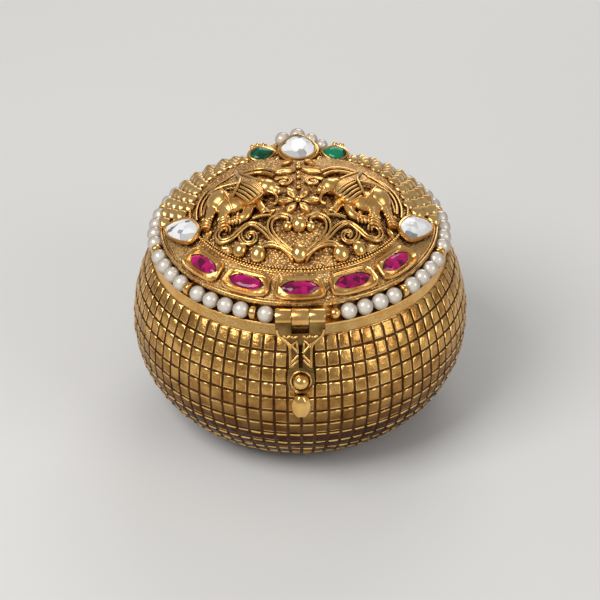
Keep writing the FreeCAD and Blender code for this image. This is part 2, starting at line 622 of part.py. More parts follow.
def make_side_stones():
    """A white stone in a raised collet at each end of the ruby row."""
    top, rim = num("side_bezel_height"), num("side_bezel_rim")
    width, depth = num("side_stone_width"), num("side_stone_depth")
    floor = top - num("pocket_depth")
    for side, sign in (("left", -1), ("right", 1)):
        shares = [(sign * -across, up) for across, up in PEAR_SHARES]
        outer = scaled_points(shares, width + 2 * rim, depth + 2 * rim)
        inner = scaled_points(shares, width, depth)
        collet = prism(outer, -num("bezel_root"), top).cut(prism(inner, floor, 2 * top))
        place = on_band(sign * num("side_stone_angle"), num("side_stone_distance"))
        collet.Placement = place
        feature("side_bezel_" + side, collet.cut(core))
        small = scaled_points(shares, width - num("seat_gap"), depth - num("seat_gap"))
        feature("side_stone_" + side, gem(small, floor, 2 * num("stone_height")), place)


def make_crest():
    """The crest's plate, its drop stone in a tall collet and four pearls behind it."""
    back, low, plate_top = num("crest_distance"), num("band_height"), num("crest_plate_height")
    rim, width, length = num("crest_bezel_rim"), num("crest_stone_width"), num("crest_stone_length")
    gap, sides = num("seat_gap"), count("lid_side_count")
    floor = field_surface(0, back - length / 2) + gap
    top = floor + num("crest_pocket_depth")
    outer = prism(scaled_points(DROP_SHARES, width + 2 * rim, length + 2 * rim), low, top)
    outer.translate(Vector(0, back, 0))
    pocket = prism(scaled_points(DROP_SHARES, width, length), floor, 2 * top)
    pocket.translate(Vector(0, back, 0))
    disc = prism(ring_points(num("crest_plate_radius"), sides), low, plate_top)
    disc.translate(Vector(0, back, 0))
    inside = prism(ring_points(num("band_radius") - num("band_edge"), sides), 0, 2 * plate_top)
    feature("crest_plate", disc.common(inside).cut(core).cut(outer))
    feature("crest_bezel", outer.cut(pocket).cut(core))
    drop = gem(scaled_points(DROP_SHARES, width - gap, length - gap), floor, num("crest_stone_rise"))
    feature("crest_stone", drop, Placement(Vector(0, back, 0), Rotation()))
    radius, reach = num("crest_pearl_radius"), num("crest_pearl_reach")
    pearls = []
    for index in range(count("crest_pearl_count")):
        angle = 180 - num("crest_pearl_first_angle") - index * num("crest_pearl_pitch_angle")
        pearl = faceted_ball(radius)
        pearl.rotate(Vector(), Vector(0, 1, 0), 90)
        pearl.translate(around(angle, reach, plate_top + radius) + Vector(0, back, 0))
        pearls.append(pearl)
    feature("crest_pearls", Part.makeCompound(pearls))


def make_emeralds():
    """A round emerald in a collet on each side of the crest, with small gold beads behind."""
    sides, gap, low = count("emerald_side_count"), num("seat_gap"), num("band_height")
    radius, rim, distance = num("emerald_radius"), num("emerald_bezel_rim"), num("emerald_distance")
    across = num("emerald_offset")
    back = math.sqrt(distance ** 2 - across ** 2)
    floor = field_surface(0, distance - radius) + gap
    top = floor + num("pocket_depth")
    taken = nodes["crest_plate"].Shape.fuse(nodes["crest_bezel"].Shape)
    bead_radius, pitch = num("crest_bead_radius"), num("crest_bead_pitch_angle")
    beads = []
    for side, sign, bead_turns in (("left", -1, (-1, 0, 1)), ("right", 1, (0,))):
        place = Placement(Vector(sign * across, back, 0), Rotation())
        collet = prism(ring_points(radius + rim, sides), low, top)
        collet = collet.cut(prism(ring_points(radius, sides), floor, 2 * top))
        collet.Placement = place
        feature("emerald_bezel_" + side, collet.cut(core).cut(taken))
        feature("emerald_" + side, gem(ring_points(radius - gap, sides), floor, num("emerald_rise")), place)
        for turn in bead_turns:
            spot = around(180 - turn * pitch, radius + rim + bead_radius) + place.Base
            bead = stack(ring_points(bead_radius, count("pearl_side_count")),
                         [(1, low - num("band_edge"))] + [(scale, top + share * bead_radius)
                                                          for scale, share in GRANULE_SHARES[1:]])
            bead.translate(spot)
            bead = bead.cut(core).cut(taken).cut(nodes["emerald_bezel_" + side].Shape)
            beads.append(bead.cut(nodes["crest_pearls"].Shape))
    feature("crest_beads", Part.makeCompound(beads))


def make_studs():
    """Three rows of pointed studs on each side of the band, each as wide as its row leaves it."""
    first, gap = num("row_start_angle"), num("row_gap")
    rows, in_row = count("stud_band_row_count"), count("row_stud_count")
    pitch = (num("row_end_angle") - first) / in_row
    deep = (num("band_width") - num("row_inset")) / rows
    for side, sign in (("left", -1), ("right", 1)):
        studs = []
        for row in range(rows):
            radius = num("field_radius") + num("row_inset") + (row + 1 / 2) * deep
            wide = 2 * radius * math.sin(math.radians(pitch / 2))
            diamond = scaled_points(SQUARE_SHARES, wide - gap, deep - gap)
            for index in range(in_row):
                stud = pointed(diamond, 0, num("band_stud_height"))
                stud.Placement = on_band(sign * (first + (index + 1 / 2) * pitch), radius)
                studs.append(stud.cut(core) if stud.common(core).Volume else stud)
        feature("band_studs_" + side, Part.makeCompound(studs))


# Relief outlines as shares of the elephant's length and height, head to the right
BODY_SHARES = [(-0.46, -0.50), (-0.33, -0.50), (-0.30, -0.24), (-0.20, -0.24), (-0.19, -0.52),
               (-0.06, -0.52), (-0.05, -0.18), (0.06, -0.20), (0.08, -0.45), (0.21, -0.45), (0.22, -0.14),
               (0.30, -0.14), (0.30, -0.36), (0.38, -0.46), (0.46, -0.40), (0.42, -0.14), (0.50, 0.02),
               (0.44, 0.20), (0.28, 0.28), (0.06, 0.44), (-0.14, 0.48), (-0.34, 0.40), (-0.46, 0.22),
               (-0.51, 0.0), (-0.50, -0.25)]
EAR_SHARES = [(0.24, 0.16), (0.20, -0.10), (0.06, -0.14), (-0.06, 0.02), (-0.05, 0.22), (0.08, 0.30)]
CLOTH_SHARES = [(-0.10, 0.02), (-0.10, 0.42), (-0.32, 0.36), (-0.44, 0.16), (-0.42, -0.06)]


def make_elephants():
    """Two elephants that face each other over the flower."""
    length, height = of_field("elephant_length"), of_field("elephant_height")
    under, high = num("band_height"), 2 * num("field_height")
    head_share = (0.36, 0.10)
    for side, sign in (("left", 1), ("right", -1)):
        def placed(shares):
            pairs = scaled_points(shares, sign * length, height)
            centre = (-sign * of_field("elephant_spread"), of_field("elephant_setback"))
            return [(centre[0] + x, centre[1] + y) for x, y in pairs]
        body = relief([prism(placed(BODY_SHARES), under, high)], num("elephant_low"))
        raised = relief([prism(placed(EAR_SHARES), under, high)], num("elephant_high"))
        cloth = relief([prism(placed(CLOTH_SHARES), under, high)], num("elephant_high") - num("line_width") / 2)
        centre = placed([head_share])[0]
        sides = count("pearl_side_count")
        disc = [(centre[0] + x, centre[1] + y) for x, y in ring_points(of_field("elephant_head"), sides)]
        head = relief([prism(disc, under, high)], num("elephant_high"))
        feature("elephant_" + side, merge([body, raised, cloth, head]))


def make_flower():
    """The six-petal flower between the elephants."""
    reach, width, back = of_field("flower_reach"), of_field("petal_width"), of_field("flower_setback")
    under, high = num("band_height"), num("apex_height")
    petals = []
    for index in range(count("flower_petal_count")):
        petal = prism(scaled_points(PETAL_SHARES, reach, width), under, 2 * high)
        petal.translate(Vector(reach / 2, 0, 0))
        petal.rotate(Vector(), Vector(0, 0, 1), index * 360 / count("flower_petal_count"))
        petal.translate(Vector(0, back, 0))
        petals.append(petal)
    core_disc = prism([(x, y + back) for x, y in ring_points(width / 2, count("pearl_side_count"))], under, 2 * high)
    feature("flower", merge([relief(petals, num("relief_low")), relief([core_disc], num("relief_low + line_width / 2"))]))


def make_granules():
    """Gold beads on the field: five around the heart and three between its lobes."""
    whole, small = num("granule_radius"), num("granule_radius * small_granule_share")
    pitch, back = of_field("top_granule_pitch"), of_field("top_granule_setback")
    spots = [(whole, 0.0, of_field("tip_granule_setback")), (whole, 0.0, back), (small, -pitch, back),
             (small, pitch, back)]
    spots += [(whole, sign * of_field(which + "_granule_spread"), of_field(which + "_granule_setback"))
              for which in ("inner", "outer") for sign in (-1, 1)]
    beads = []
    for radius, x, y in spots:
        bead = stack(ring_points(radius, count("pearl_side_count")),
                     [(scale, share * radius) for scale, share in GRANULE_SHARES])
        bead.translate(Vector(x, y, field_surface(x, y)))
        beads.append(bead.cut(core))
    feature("gold_granules", Part.makeCompound(beads))


def make_heart():
    """The heart, drawn as two lobes of a heart curve that meet at its tip."""
    width, under, high = num("line_width"), num("band_height"), 2 * num("apex_height")
    across, along, back = of_field("heart_width") / 2, of_field("heart_length"), of_field("heart_setback")
    steps, first_share = 12, 0.08
    lobes = []
    for sign in (-1, 1):
        path = []
        for step in range(steps + 1):
            turn = math.pi * (first_share + (1 - first_share) * step / steps)
            rise = HEART_SHARES[0] * math.cos(turn) - sum(
                share * math.cos((order + 2) * turn) for order, share in enumerate(HEART_SHARES[1:]))
            path.append((sign * across * math.sin(turn) ** 3, back + along * rise))
        lobes.append(ribbon(path, width, under, high))
    heart = relief(lobes, num("relief_low")).removeSplitter()
    feature("heart_scroll", heart.cut(nodes["gold_granules"].Shape))


def make_scrolls():
    """A spiral on each side of the heart and two framing lines behind each elephant."""
    width, under, high = num("line_width"), num("band_height"), 2 * num("apex_height")
    lift, granules = num("relief_low"), nodes["gold_granules"].Shape
    scroll_steps, frame_steps, frame_lines = 12, 4, 2
    for side, sign in (("left", -1), ("right", 1)):
        path = []
        for step in range(scroll_steps + 1):
            share = step / scroll_steps
            turn = 2 * math.pi * num("scroll_turn_count") * share
            radius = of_field("scroll_reach") * (1 - (1 - num("scroll_eye_share")) * share)
            path.append((sign * (of_field("scroll_spread") - radius * math.cos(turn)),
                         of_field("scroll_setback") - radius * math.sin(turn)))
        feature("scroll_" + side, relief([ribbon(path, width, under, high)], lift).cut(granules))
        lines = []
        first, last = num("row_start_angle"), num("frame_last_angle")
        for line in range(frame_lines):
            reach = num("field_radius") - num("frame_inset") - line * num("frame_gap")
            arc = [around(sign * (first + (last - first) * step / frame_steps), reach)
                   for step in range(frame_steps + 1)]
            lines.append(relief([ribbon([(point.x, point.y) for point in arc], width / 2, under, high)], lift))
        feature("frame_lines_" + side, Part.makeCompound(lines))


# Clasp
def make_clasp():
    """The lug on the lid, the pin, and the hasp with its strap, eye and drop knob."""
    place = ("-clasp_distance", "clasp_height")
    half, middle = "clasp_length / 2", "clasp_middle / 2"
    web = block("lug_web", ("-" + middle, "-clasp_distance", "clasp_height - lug_height / 2"),
                (middle, "-(rim_outer - rim_wall / 2)", "clasp_height + lug_height / 2"))
    web_bore = rod("lug_bore", "clasp_pin_radius + running_clearance", "-" + middle, middle, *place)
    lug = fuse("lug_whole", rod("lug_barrel", "clasp_barrel_radius", "-" + middle, middle, *place), web)
    keep("clasp_lug", cut("clasp_lug", lug, fuse("lug_waste", web_bore, nodes["lid_rim"])))
    keep("clasp_pin", rod("clasp_pin", "clasp_pin_radius", "-" + half, half, *place))
    inner, outer = [("-strap_back", "clasp_height")], [("-(strap_back + strap_thickness)", "clasp_height")]
    facets = count("strap_run_count")
    for step in range(facets + 1):
        turn = "(strap_first_turn*%d/%d + strap_last_turn*%d/%d)" % (facets - step, facets, step, facets)
        inner.append(("-(arc_centre + strap_arc*cos(%s))" % turn, "belly_height + strap_arc*sin(%s)" % turn))
        outer.append(("-(arc_centre + (strap_arc + strap_thickness)*cos(%s))" % turn,
                      "belly_height + (strap_arc + strap_thickness)*sin(%s)" % turn))
    inner.append(("-(knob_distance - strap_thickness / 2)", "strap_end_height"))
    outer.append(("-(knob_distance + strap_thickness / 2)", "strap_end_height"))
    side_view = plate("strap_side", "YZ_Plane", inner + outer[::-1], "clasp_length")
    right = [(half, "clasp_height"), (half, "shoulder_height"), ("strap_width / 2", "taper_height"),
             ("strap_width / 2", "stud_height + eye_width / 2"), ("eye_width / 2", "stud_height"),
             ("strap_tip_width / 2", "strap_end_height")]
    left = [("-(%s)" % across, up) for across, up in reversed(right)]
    front_view = plate("strap_front", "XZ_Plane", right + left, "4 * clasp_distance")
    strap = doc.addObject("Part::MultiCommon", "strap_whole")
    strap.Shapes = [side_view, front_view]
    barrel = rod("hasp_barrel", "clasp_barrel_radius", "-" + half, half, *place)
    gap = middle + " + clasp_side_gap"
    slot = block("hasp_slot", ("-(%s)" % gap, "-2 * clasp_distance", "shoulder_height"), (gap, "0", "2 * clasp_height"))
    bore = rod("hasp_bore", "clasp_pin_radius + running_clearance", "-" + half, half, *place)
    eye = doc.addObject("Part::Prism", "eye_drill")
    eye.setExpression("Polygon", full("eye_side_count"))
    eye.setExpression("Circumradius", full("eye_radius / cos(180 / eye_side_count)"))
    eye.setExpression("Height", full("4 * strap_thickness"))
    eye.Placement = stud_place()
    keep("hasp", cut("hasp", fuse("hasp_whole", strap, barrel), fuse("hasp_waste", slot, bore, eye)))
    ratio = num("knob_depth / knob_width")
    radius, length = num("knob_width") / 2, num("knob_length")
    knob = stack(ring_points(radius, count("pearl_side_count"), radius * ratio),
                 [(scale, share * length) for scale, share in reversed(KNOB_SHARES)])
    centre = Vector(0, -num("knob_distance"), num("strap_end_height") - length / 2)
    feature("hasp_knob", knob, Placement(centre, Rotation()))


def check_and_write():
    """Recomputes the model, stops at any failed piece, and writes each piece to its own file."""
    doc.recompute()
    for item in doc.Objects:
        bad = [word for word in item.State if word in ("Invalid", "Error")]
        if bad:
            raise RuntimeError("%s is %s" % (item.Label, bad))
    for name, item in nodes.items():
        if item.Shape.isNull() or not item.Shape.isValid() or not item.Shape.Solids:
            raise RuntimeError("%s has no valid solid" % name)
    os.makedirs("parts", exist_ok=True)
    for name, item in nodes.items():
        item.Shape.exportStep("parts/%s.step" % name)
    print("%d pieces" % len(nodes))


make_bowl()
make_collar()
make_stud()
make_lid()
make_rear_hinge()
make_pearls()
make_rubies()
make_side_stones()
make_crest()
make_emeralds()
make_bead_wire()
make_studs()
make_elephants()
make_flower()
make_granules()
make_heart()
make_scrolls()
make_clasp()
check_and_write()
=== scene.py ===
# %% [markdown]
# # A round temple-jewellery box
# The solids of the box come from the CAD model, with their sizes, places and hinges. This lesson dresses
# them: a bowl chased with squares, a domed lid with two elephants, set stones, pearls and a hasp.
# Sizes are written in millimetres. Blender works in metres here, so a size is multiplied by `MM` where it is
# handed to Blender, and what is read from a mesh is divided by it.

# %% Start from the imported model
import math
import random

import bpy
from mathutils import Matrix, Vector


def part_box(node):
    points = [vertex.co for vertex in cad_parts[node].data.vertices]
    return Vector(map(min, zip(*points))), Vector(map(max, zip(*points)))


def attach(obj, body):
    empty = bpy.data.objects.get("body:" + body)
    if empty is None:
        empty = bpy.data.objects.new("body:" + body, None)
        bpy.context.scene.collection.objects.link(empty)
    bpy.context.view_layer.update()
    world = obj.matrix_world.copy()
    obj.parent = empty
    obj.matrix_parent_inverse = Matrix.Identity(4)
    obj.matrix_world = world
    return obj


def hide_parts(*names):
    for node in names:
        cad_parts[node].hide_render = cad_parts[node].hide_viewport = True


MM = 0.001
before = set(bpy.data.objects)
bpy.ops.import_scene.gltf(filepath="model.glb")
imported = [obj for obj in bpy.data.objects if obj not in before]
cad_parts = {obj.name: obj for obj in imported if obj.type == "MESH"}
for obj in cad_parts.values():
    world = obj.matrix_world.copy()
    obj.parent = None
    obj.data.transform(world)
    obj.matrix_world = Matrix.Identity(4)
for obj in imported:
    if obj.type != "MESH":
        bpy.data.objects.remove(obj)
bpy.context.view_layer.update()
random.seed(7)

# %% [markdown]
# The box is round, so most places are an angle from the front, a radius and a height. The radii below are
# the maker's: the string of pearls, the field of the lid and the band round it. Heights are read from the
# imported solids, so the looks stay on them.


# %% Sizes that the pieces share
def bottom(node):
    """The height of a solid's lowest point."""
    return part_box(node)[0].z / MM


def top(node):
    """The height of a solid's highest point."""
    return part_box(node)[1].z / MM


STRING_RADIUS = 33.0
FIELD_RADIUS = 24.8
BAND_RADIUS = 31.8
BELLY_RADIUS = 38.5
PEARL_RADIUS = 1.925
RIM_TOP = bottom("lid_shell")
LEDGE_LOW = bottom("lid_rim")
LIP_TOP = top("mouth_collar")
NECK = bottom("mouth_collar")
BAND_EDGE, BAND_CLIMB = 0.6, 3.65
BAND_TOP = RIM_TOP + BAND_EDGE
FIELD_TOP = BAND_TOP + BAND_CLIMB
PEARL_HEIGHT = (bottom("pearls_left_3") + top("pearls_left_3")) / 2
SKIN = 0.03
DOME_RISE = top("lid_shell") + SKIN - FIELD_TOP
SPHERE = (FIELD_RADIUS ** 2 + DOME_RISE ** 2) / (2 * DOME_RISE)
BAND_FALL = BAND_CLIMB / (BAND_RADIUS - FIELD_RADIUS)
print("the dome rises %.2f mm on a sphere of %.1f mm" % (DOME_RISE, SPHERE))


# %% Places round the box and on the lid
MIRROR = Matrix.Scale(-1, 4, (1, 0, 0))
SIDES = (("left", -1), ("right", 1))


def at(x, y, z=0.0):
    """A move to a place."""
    return Matrix.Translation((x * MM, y * MM, z * MM))


def turned(angle, axis):
    """A turn about an axis, in degrees."""
    return Matrix.Rotation(math.radians(angle), 4, axis)


def on_circle(angle, radius, height=0.0):
    """The point at an angle from the front, in degrees towards +X."""
    turn = math.radians(angle)
    return radius * math.sin(turn), -radius * math.cos(turn), height


def lid_height(x, y):
    """The lid's height over a plan point: the dome inside the field, the slope outside it."""
    radius = math.hypot(x, y)
    if radius < FIELD_RADIUS:
        return FIELD_TOP + DOME_RISE - SPHERE + math.sqrt(SPHERE ** 2 - radius ** 2)
    return FIELD_TOP - (radius - FIELD_RADIUS) * BAND_FALL


def band_place(angle, radius):
    """A frame on the band: Z stands off it, X runs round the box and Y climbs to the field."""
    slope = math.degrees(math.atan(BAND_FALL))
    return at(*on_circle(angle, radius, lid_height(0, radius))) @ turned(angle, "Z") @ turned(slope, "X")


# %% [markdown]
# ## Working by operator
# Blender's operators act on what is selected, so each step starts from a clear selection. These helpers pick
# faces by a test, move a piece within its own mesh, copy it, and finish it with modifiers.


# %% Helpers for selecting
def clear():
    """Nothing selected, in object mode."""
    if bpy.context.object and bpy.context.object.mode != "OBJECT":
        bpy.ops.object.mode_set(mode="OBJECT")
    bpy.ops.object.select_all(action="DESELECT")


def hold(piece):
    """Makes one piece the selected and active one."""
    clear()
    piece.select_set(True)
    bpy.context.view_layer.objects.active = piece
    return piece


def edit(piece, action="SELECT"):
    """Opens a piece in edit mode with all of it selected, or none of it."""
    hold(piece)
    bpy.ops.object.mode_set(mode="EDIT")
    bpy.ops.mesh.select_mode(type="FACE")
    bpy.ops.mesh.select_all(action=action)


def pick(piece, wanted):
    """Selects the faces that pass a test, and stays in edit mode."""
    edit(piece, "DESELECT")
    bpy.ops.object.mode_set(mode="OBJECT")
    for face in piece.data.polygons:
        face.select = wanted(face)
    bpy.ops.object.mode_set(mode="EDIT")


# %% Helpers for placing and copying
def put(piece, place):
    """Moves a piece's mesh by a matrix, and turns its faces outwards again after a mirror."""
    piece.data.transform(place)
    if place.determinant() < 0:
        piece.data.flip_normals()
    return piece


def copy_at(piece, place, name=None):
    """A copy with its own mesh, moved by a matrix that ends up in the mesh."""
    twin = piece.copy()
    twin.data = piece.data.copy()
    bpy.context.collection.objects.link(twin)
    twin.name = name or piece.name
    return put(twin, place)


def remove(*pieces):
    """Deletes pattern pieces after their copies are made."""
    for piece in pieces:
        bpy.data.objects.remove(piece, do_unlink=True)


def join(pieces, name):
    """Several meshes made one object."""
    clear()
    for piece in pieces:
        piece.select_set(True)
    bpy.context.view_layer.objects.active = pieces[0]
    if len(pieces) > 1:
        bpy.ops.object.join()
    pieces[0].name = name
    return pieces[0]


def drape(piece):
    """Lifts a piece modelled over a flat plan onto the lid."""
    for vertex in piece.data.vertices:
        vertex.co.z += lid_height(vertex.co.x / MM, vertex.co.y / MM) * MM
    return piece


# %% Helpers for finishing
def tidy(piece, smooth=None):
    """Merges doubles, turns the faces outwards and smooths what is flatter than an angle."""
    edit(piece)
    bpy.ops.mesh.remove_doubles(threshold=0.002 * MM)
    bpy.ops.mesh.delete_loose()
    bpy.ops.mesh.select_all(action="SELECT")
    bpy.ops.mesh.normals_make_consistent(inside=False)
    bpy.ops.object.mode_set(mode="OBJECT")
    if smooth:
        bpy.ops.object.shade_smooth_by_angle(angle=math.radians(smooth))
    return piece


def modify(piece, kind, **settings):
    """Adds a modifier and applies it."""
    hold(piece)
    made = piece.modifiers.new(kind.lower(), kind)
    for name, value in settings.items():
        setattr(made, name, value)
    bpy.ops.object.modifier_apply(modifier=made.name)
    return piece


def bevel(piece, width, segments=2, angle=30):
    """Softens the edges that turn by more than an angle."""
    return modify(piece, "BEVEL", width=width * MM, segments=segments, limit_method="ANGLE",
                  angle_limit=math.radians(angle))


def ripple(piece, name, size, depth, **limits):
    """Pushes a surface in and out by a cloudy pattern of a size."""
    cloud = bpy.data.textures.new(name, "CLOUDS")
    cloud.noise_scale = size * MM
    return modify(piece, "DISPLACE", texture=cloud, strength=depth * MM, mid_level=0.5,
                  texture_coords="LOCAL", **limits)


def add_finishes(piece, *finishes):
    """Gives a piece its materials, in the order of their numbers."""
    for finish in finishes:
        piece.data.materials.append(finish)
    return piece


def give(piece, nodes, finish=None, body="lid"):
    """Hands a piece to the model: its finish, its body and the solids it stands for."""
    hold(piece)
    bpy.ops.object.transform_apply(location=True, rotation=True, scale=True)
    if finish:
        piece.data.materials.clear()
        add_finishes(piece, finish)
    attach(piece, body)
    if nodes:
        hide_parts(*nodes)
    print("%-22s %6d faces" % (piece.name, len(piece.data.polygons)))


def give_pair(left, name, node, finish=None):
    """Hands over a piece of the lid's left half and its mirror image."""
    right = copy_at(left, MIRROR)
    for piece, side in ((left, "left"), (right, "right")):
        piece.name = name + side
        give(piece, [node + side], finish)


# %% [markdown]
# ## Finishes
# Temple jewellery is silver or brass with a warm gold skin. It is burnished where it stands out and left
# dark where the polishing cloth can't reach, and that contrast draws the pattern. Ambient occlusion finds
# those hollows whichever way the box is turned, so it mixes a brown patina into them, and noise breaks up
# the colour, the gloss and the surface. Every finish is built from the same few nodes, so a small class
# adds a node and fills its inputs in one call.


# %% A material and its nodes
class Finish:
    """A node material that starts with a surface shader and the piece's own coordinates."""

    def __init__(self, name):
        self.material = bpy.data.materials.new(name)
        self.material.use_nodes = True
        self.material.node_tree.nodes.clear()
        self.shader = self.add("ShaderNodeBsdfPrincipled", {})
        self.add("ShaderNodeOutputMaterial", {"Surface": self.shader.outputs[0]})
        self.place = self.add("ShaderNodeTexCoord", {}).outputs["Object"]

    def fill(self, node, inputs):
        """Fills a node's inputs, each with a value or with another node's output."""
        for name, value in inputs.items():
            socket = node.inputs[name]
            if isinstance(value, bpy.types.NodeSocket):
                self.material.node_tree.links.new(value, socket)
            else:
                socket.default_value = (*value, 1) if socket.type == "RGBA" else value

    def add(self, kind, inputs, **settings):
        """A new node with its settings and its inputs."""
        node = self.material.node_tree.nodes.new(kind)
        for name, value in settings.items():
            setattr(node, name, value)
        self.fill(node, inputs)
        return node

    def noise(self, scale, detail):
        """A noise over the piece, in cells to the metre."""
        inputs = {"Scale": scale, "Detail": detail, "Vector": self.place}
        return self.add("ShaderNodeTexNoise", inputs).outputs["Fac"]

    def span(self, value, low, high, to_low=0, to_high=1):
        """A value moved from one range to another, held within it."""
        inputs = {"Value": value, "From Min": low, "From Max": high, "To Min": to_low, "To Max": to_high}
        return self.add("ShaderNodeMapRange", inputs).outputs["Result"]

    def mix(self, share, low, high):
        """Two colours mixed by a share. The colour sockets of the node are its inputs 6 and 7."""
        return self.add("ShaderNodeMix", {"Factor": share, 6: low, 7: high}, data_type="RGBA").outputs[2]

    def surface(self, inputs, bumps, depth):
        """Fills the surface shader, with a bump of a real depth."""
        self.fill(self.shader, inputs)
        bump = self.add("ShaderNodeBump", {"Strength": 1.0, "Distance": depth * MM, "Height": bumps})
        self.fill(self.shader, {"Normal": bump.outputs[0]})


# %% A gold with patina in its hollows
PATINA = (0.060, 0.022, 0.008)
# Painted shade and painted reflection: the dark brown that the chased squares turn to towards the bottom of
# the box, between two heights.
PAINTED_FOOT_SHADE = (0.05, 0.014, 0.005)
PAINTED_FOOT_SHADE_HEIGHTS = (13, 31)


def make_gold(name, light, warm, reach, rough, depth, grain=0, grains=0, dirt=0.5, foot=0.0):
    """Burnished gold whose hollows, within a reach, are filled with patina.

    The surface has a fine noise, or rounded grains, so many to the metre. `foot` paints shade and a dark
    reflection low on the box.
    """
    gold = Finish(name)
    tone = gold.mix(gold.span(gold.noise(260, 3.0), 0.35, 0.65), warm, light)
    # Painted shade and painted reflection: the gold turns darker towards the bottom of the box.
    if foot:
        height = gold.add("ShaderNodeSeparateXYZ", {"Vector": gold.place}).outputs["Z"]
        tone = gold.mix(gold.span(height, *(z * MM for z in PAINTED_FOOT_SHADE_HEIGHTS), foot, 0), tone, PAINTED_FOOT_SHADE)
    if grains:
        cells = gold.add("ShaderNodeTexVoronoi", {"Scale": grains, "Vector": gold.place})
        fine = gold.span(cells.outputs["Distance"], 0.12, 0.62, 1, 0)
        specks = gold.span(fine, 0.0, 0.6, -0.34, 0.18)
    else:
        fine = gold.noise(grain, 4.0)
        specks = gold.span(fine, 0.3, 0.6, -0.18, 0.18)
    open_sky = gold.add("ShaderNodeAmbientOcclusion", {"Distance": reach * MM}, samples=6).outputs["AO"]
    speckled = gold.add("ShaderNodeMath", {0: open_sky, 1: specks}, operation="ADD").outputs[0]
    clean = gold.span(speckled, dirt - 0.3, dirt + 0.3)
    gold.surface({"Base Color": gold.mix(clean, PATINA, tone), "Metallic": 1.0,
                  "Roughness": gold.span(clean, 0, 1, rough + 0.3, rough)}, fine, depth)
    return gold.material


# %% The golds of this box
ANTIQUE_GOLD = make_gold("antique gold", (0.97, 0.61, 0.22), (0.79, 0.42, 0.12), 1.6, 0.26, 0.05, 1500)
BRIGHT_GOLD = make_gold("burnished gold", (0.98, 0.63, 0.23), (0.80, 0.44, 0.12), 1.2, 0.17, 0.015, 1200,
                        dirt=0.4)
GROUND_GOLD = make_gold("matted ground", (0.92, 0.57, 0.22), (0.58, 0.30, 0.10), 1.6, 0.38, 0.18, grains=1500,
                        dirt=0.62)
GRAINED_GOLD = make_gold("grained gold", (0.90, 0.59, 0.25), (0.62, 0.35, 0.12), 1.3, 0.34, 0.10, grains=2300,
                         dirt=0.45)
# The chased squares carry the painted shade and reflection towards the bottom of the box.
TILE_GOLD = make_gold("chased squares", (0.90, 0.52, 0.155), (0.46, 0.215, 0.05), 0.8, 0.27, 0.20, 1000,
                      dirt=0.42, foot=1.0)
STUD_GOLD = make_gold("studs", (1.0, 0.68, 0.29), (0.86, 0.50, 0.16), 1.8, 0.2, 0.03, 1200, dirt=0.64)
# Painted reflection: the strap's gold is made dark, as if its face mirrored dark surroundings and not the
# pale floor.
STRAP_DARK_REFLECTION_GOLD = make_gold("strap", (0.36, 0.22, 0.07), (0.16, 0.085, 0.025), 1.0, 0.24, 0.22, 900)
GROOVE_GOLD = make_gold("chased lines", (0.20, 0.085, 0.025), (0.09, 0.035, 0.012), 1.2, 0.5, 0.08, 1100)
print("golds:", len(bpy.data.materials))

# %% [markdown]
# Pearls shine from just under their skin: a pale warm body, a hard clear coat over it and a brown shade
# where the surface turns away. The stones are glass-like bodies over foil, so most of their colour is given
# by the body, their life by flat facets and by angular patches of painted light and dark, which stand for
# reflections in the facets under them, and their polish by a low roughness.


# %% Pearls
def make_nacre():
    """Warm white nacre with a painted brown shade towards its edge."""
    nacre = Finish("nacre")
    # Painted shade: the colour turns brown where the surface turns away from the view.
    facing = nacre.add("ShaderNodeLayerWeight", {"Blend": 0.6}).outputs["Facing"]
    mottled = nacre.mix(nacre.noise(320, 2.0), (0.80, 0.73, 0.62), (0.93, 0.88, 0.80))
    nacre.surface({"Base Color": nacre.mix(facing, mottled, (0.27, 0.185, 0.12)), "Roughness": 0.16,
                   "Metallic": 0.15, "Coat Weight": 1.0, "Coat Roughness": 0.08, "Subsurface Weight": 0.12,
                   "Subsurface Radius": (0.9, 0.6, 0.5), "Subsurface Scale": 0.6 * MM},
                  nacre.noise(700, 2.0), 0.02)
    return nacre.material


NACRE = make_nacre()


# %% Stones
def make_stone(name, deep, light, scale, clear_share=0.2, refraction=1.5, deepest=0.22, lightest=0.66):
    """A polished stone whose angular patches of painted light and dark stand for reflections in the facets
    under it.
    """
    stone = Finish(name)
    patches = stone.add("ShaderNodeTexVoronoi", {"Scale": scale, "Vector": stone.place}, distance="MANHATTAN")
    # Painted reflections: the patches mix the stone's deep and light colours as its facets would mirror light
    # and dark.
    share = stone.span(patches.outputs["Color"], deepest, lightest)
    stone.fill(stone.shader, {"Base Color": stone.mix(share, deep, light), "Roughness": 0.04,
                              "IOR": refraction, "Transmission Weight": clear_share})
    return stone.material


RUBY = make_stone("ruby", (0.13, 0.0, 0.035), (0.62, 0.002, 0.17), 620)
EMERALD = make_stone("emerald", (0.0, 0.055, 0.027), (0.002, 0.27, 0.12), 420, refraction=1.45)
WHITE_STONE = make_stone("white stone", (0.22, 0.225, 0.24), (0.98, 0.98, 0.98), 340, 0.08, 1.5, 0.2, 0.46)

# %% [markdown]
# ## The bowl
# On the real bowl the squares are chased: a punch drives the lines down between them and leaves each square
# a little proud, tilted and uneven. The squares could be a bump in the material, but then the outline and
# the highlights would stay smooth. So the wall is spun from its section, a row of edges to each row of
# squares, and each outer face is inset on its own, raised and tilted.


# %% Spin a section into a round form
def spin_section(name, section, steps):
    """A round form from a closed section of radius and height pairs."""
    clear()
    bpy.ops.mesh.primitive_circle_add(vertices=len(section), radius=BELLY_RADIUS * MM)
    piece = bpy.context.object
    piece.name = name
    for vertex, (radius, height) in zip(piece.data.vertices, section):
        vertex.co = (0, -radius * MM, height * MM)
    edit(piece)
    bpy.ops.mesh.spin(steps=steps, angle=2 * math.pi, center=(0, 0, 0), axis=(0, 0, 1))
    return tidy(piece, 35)


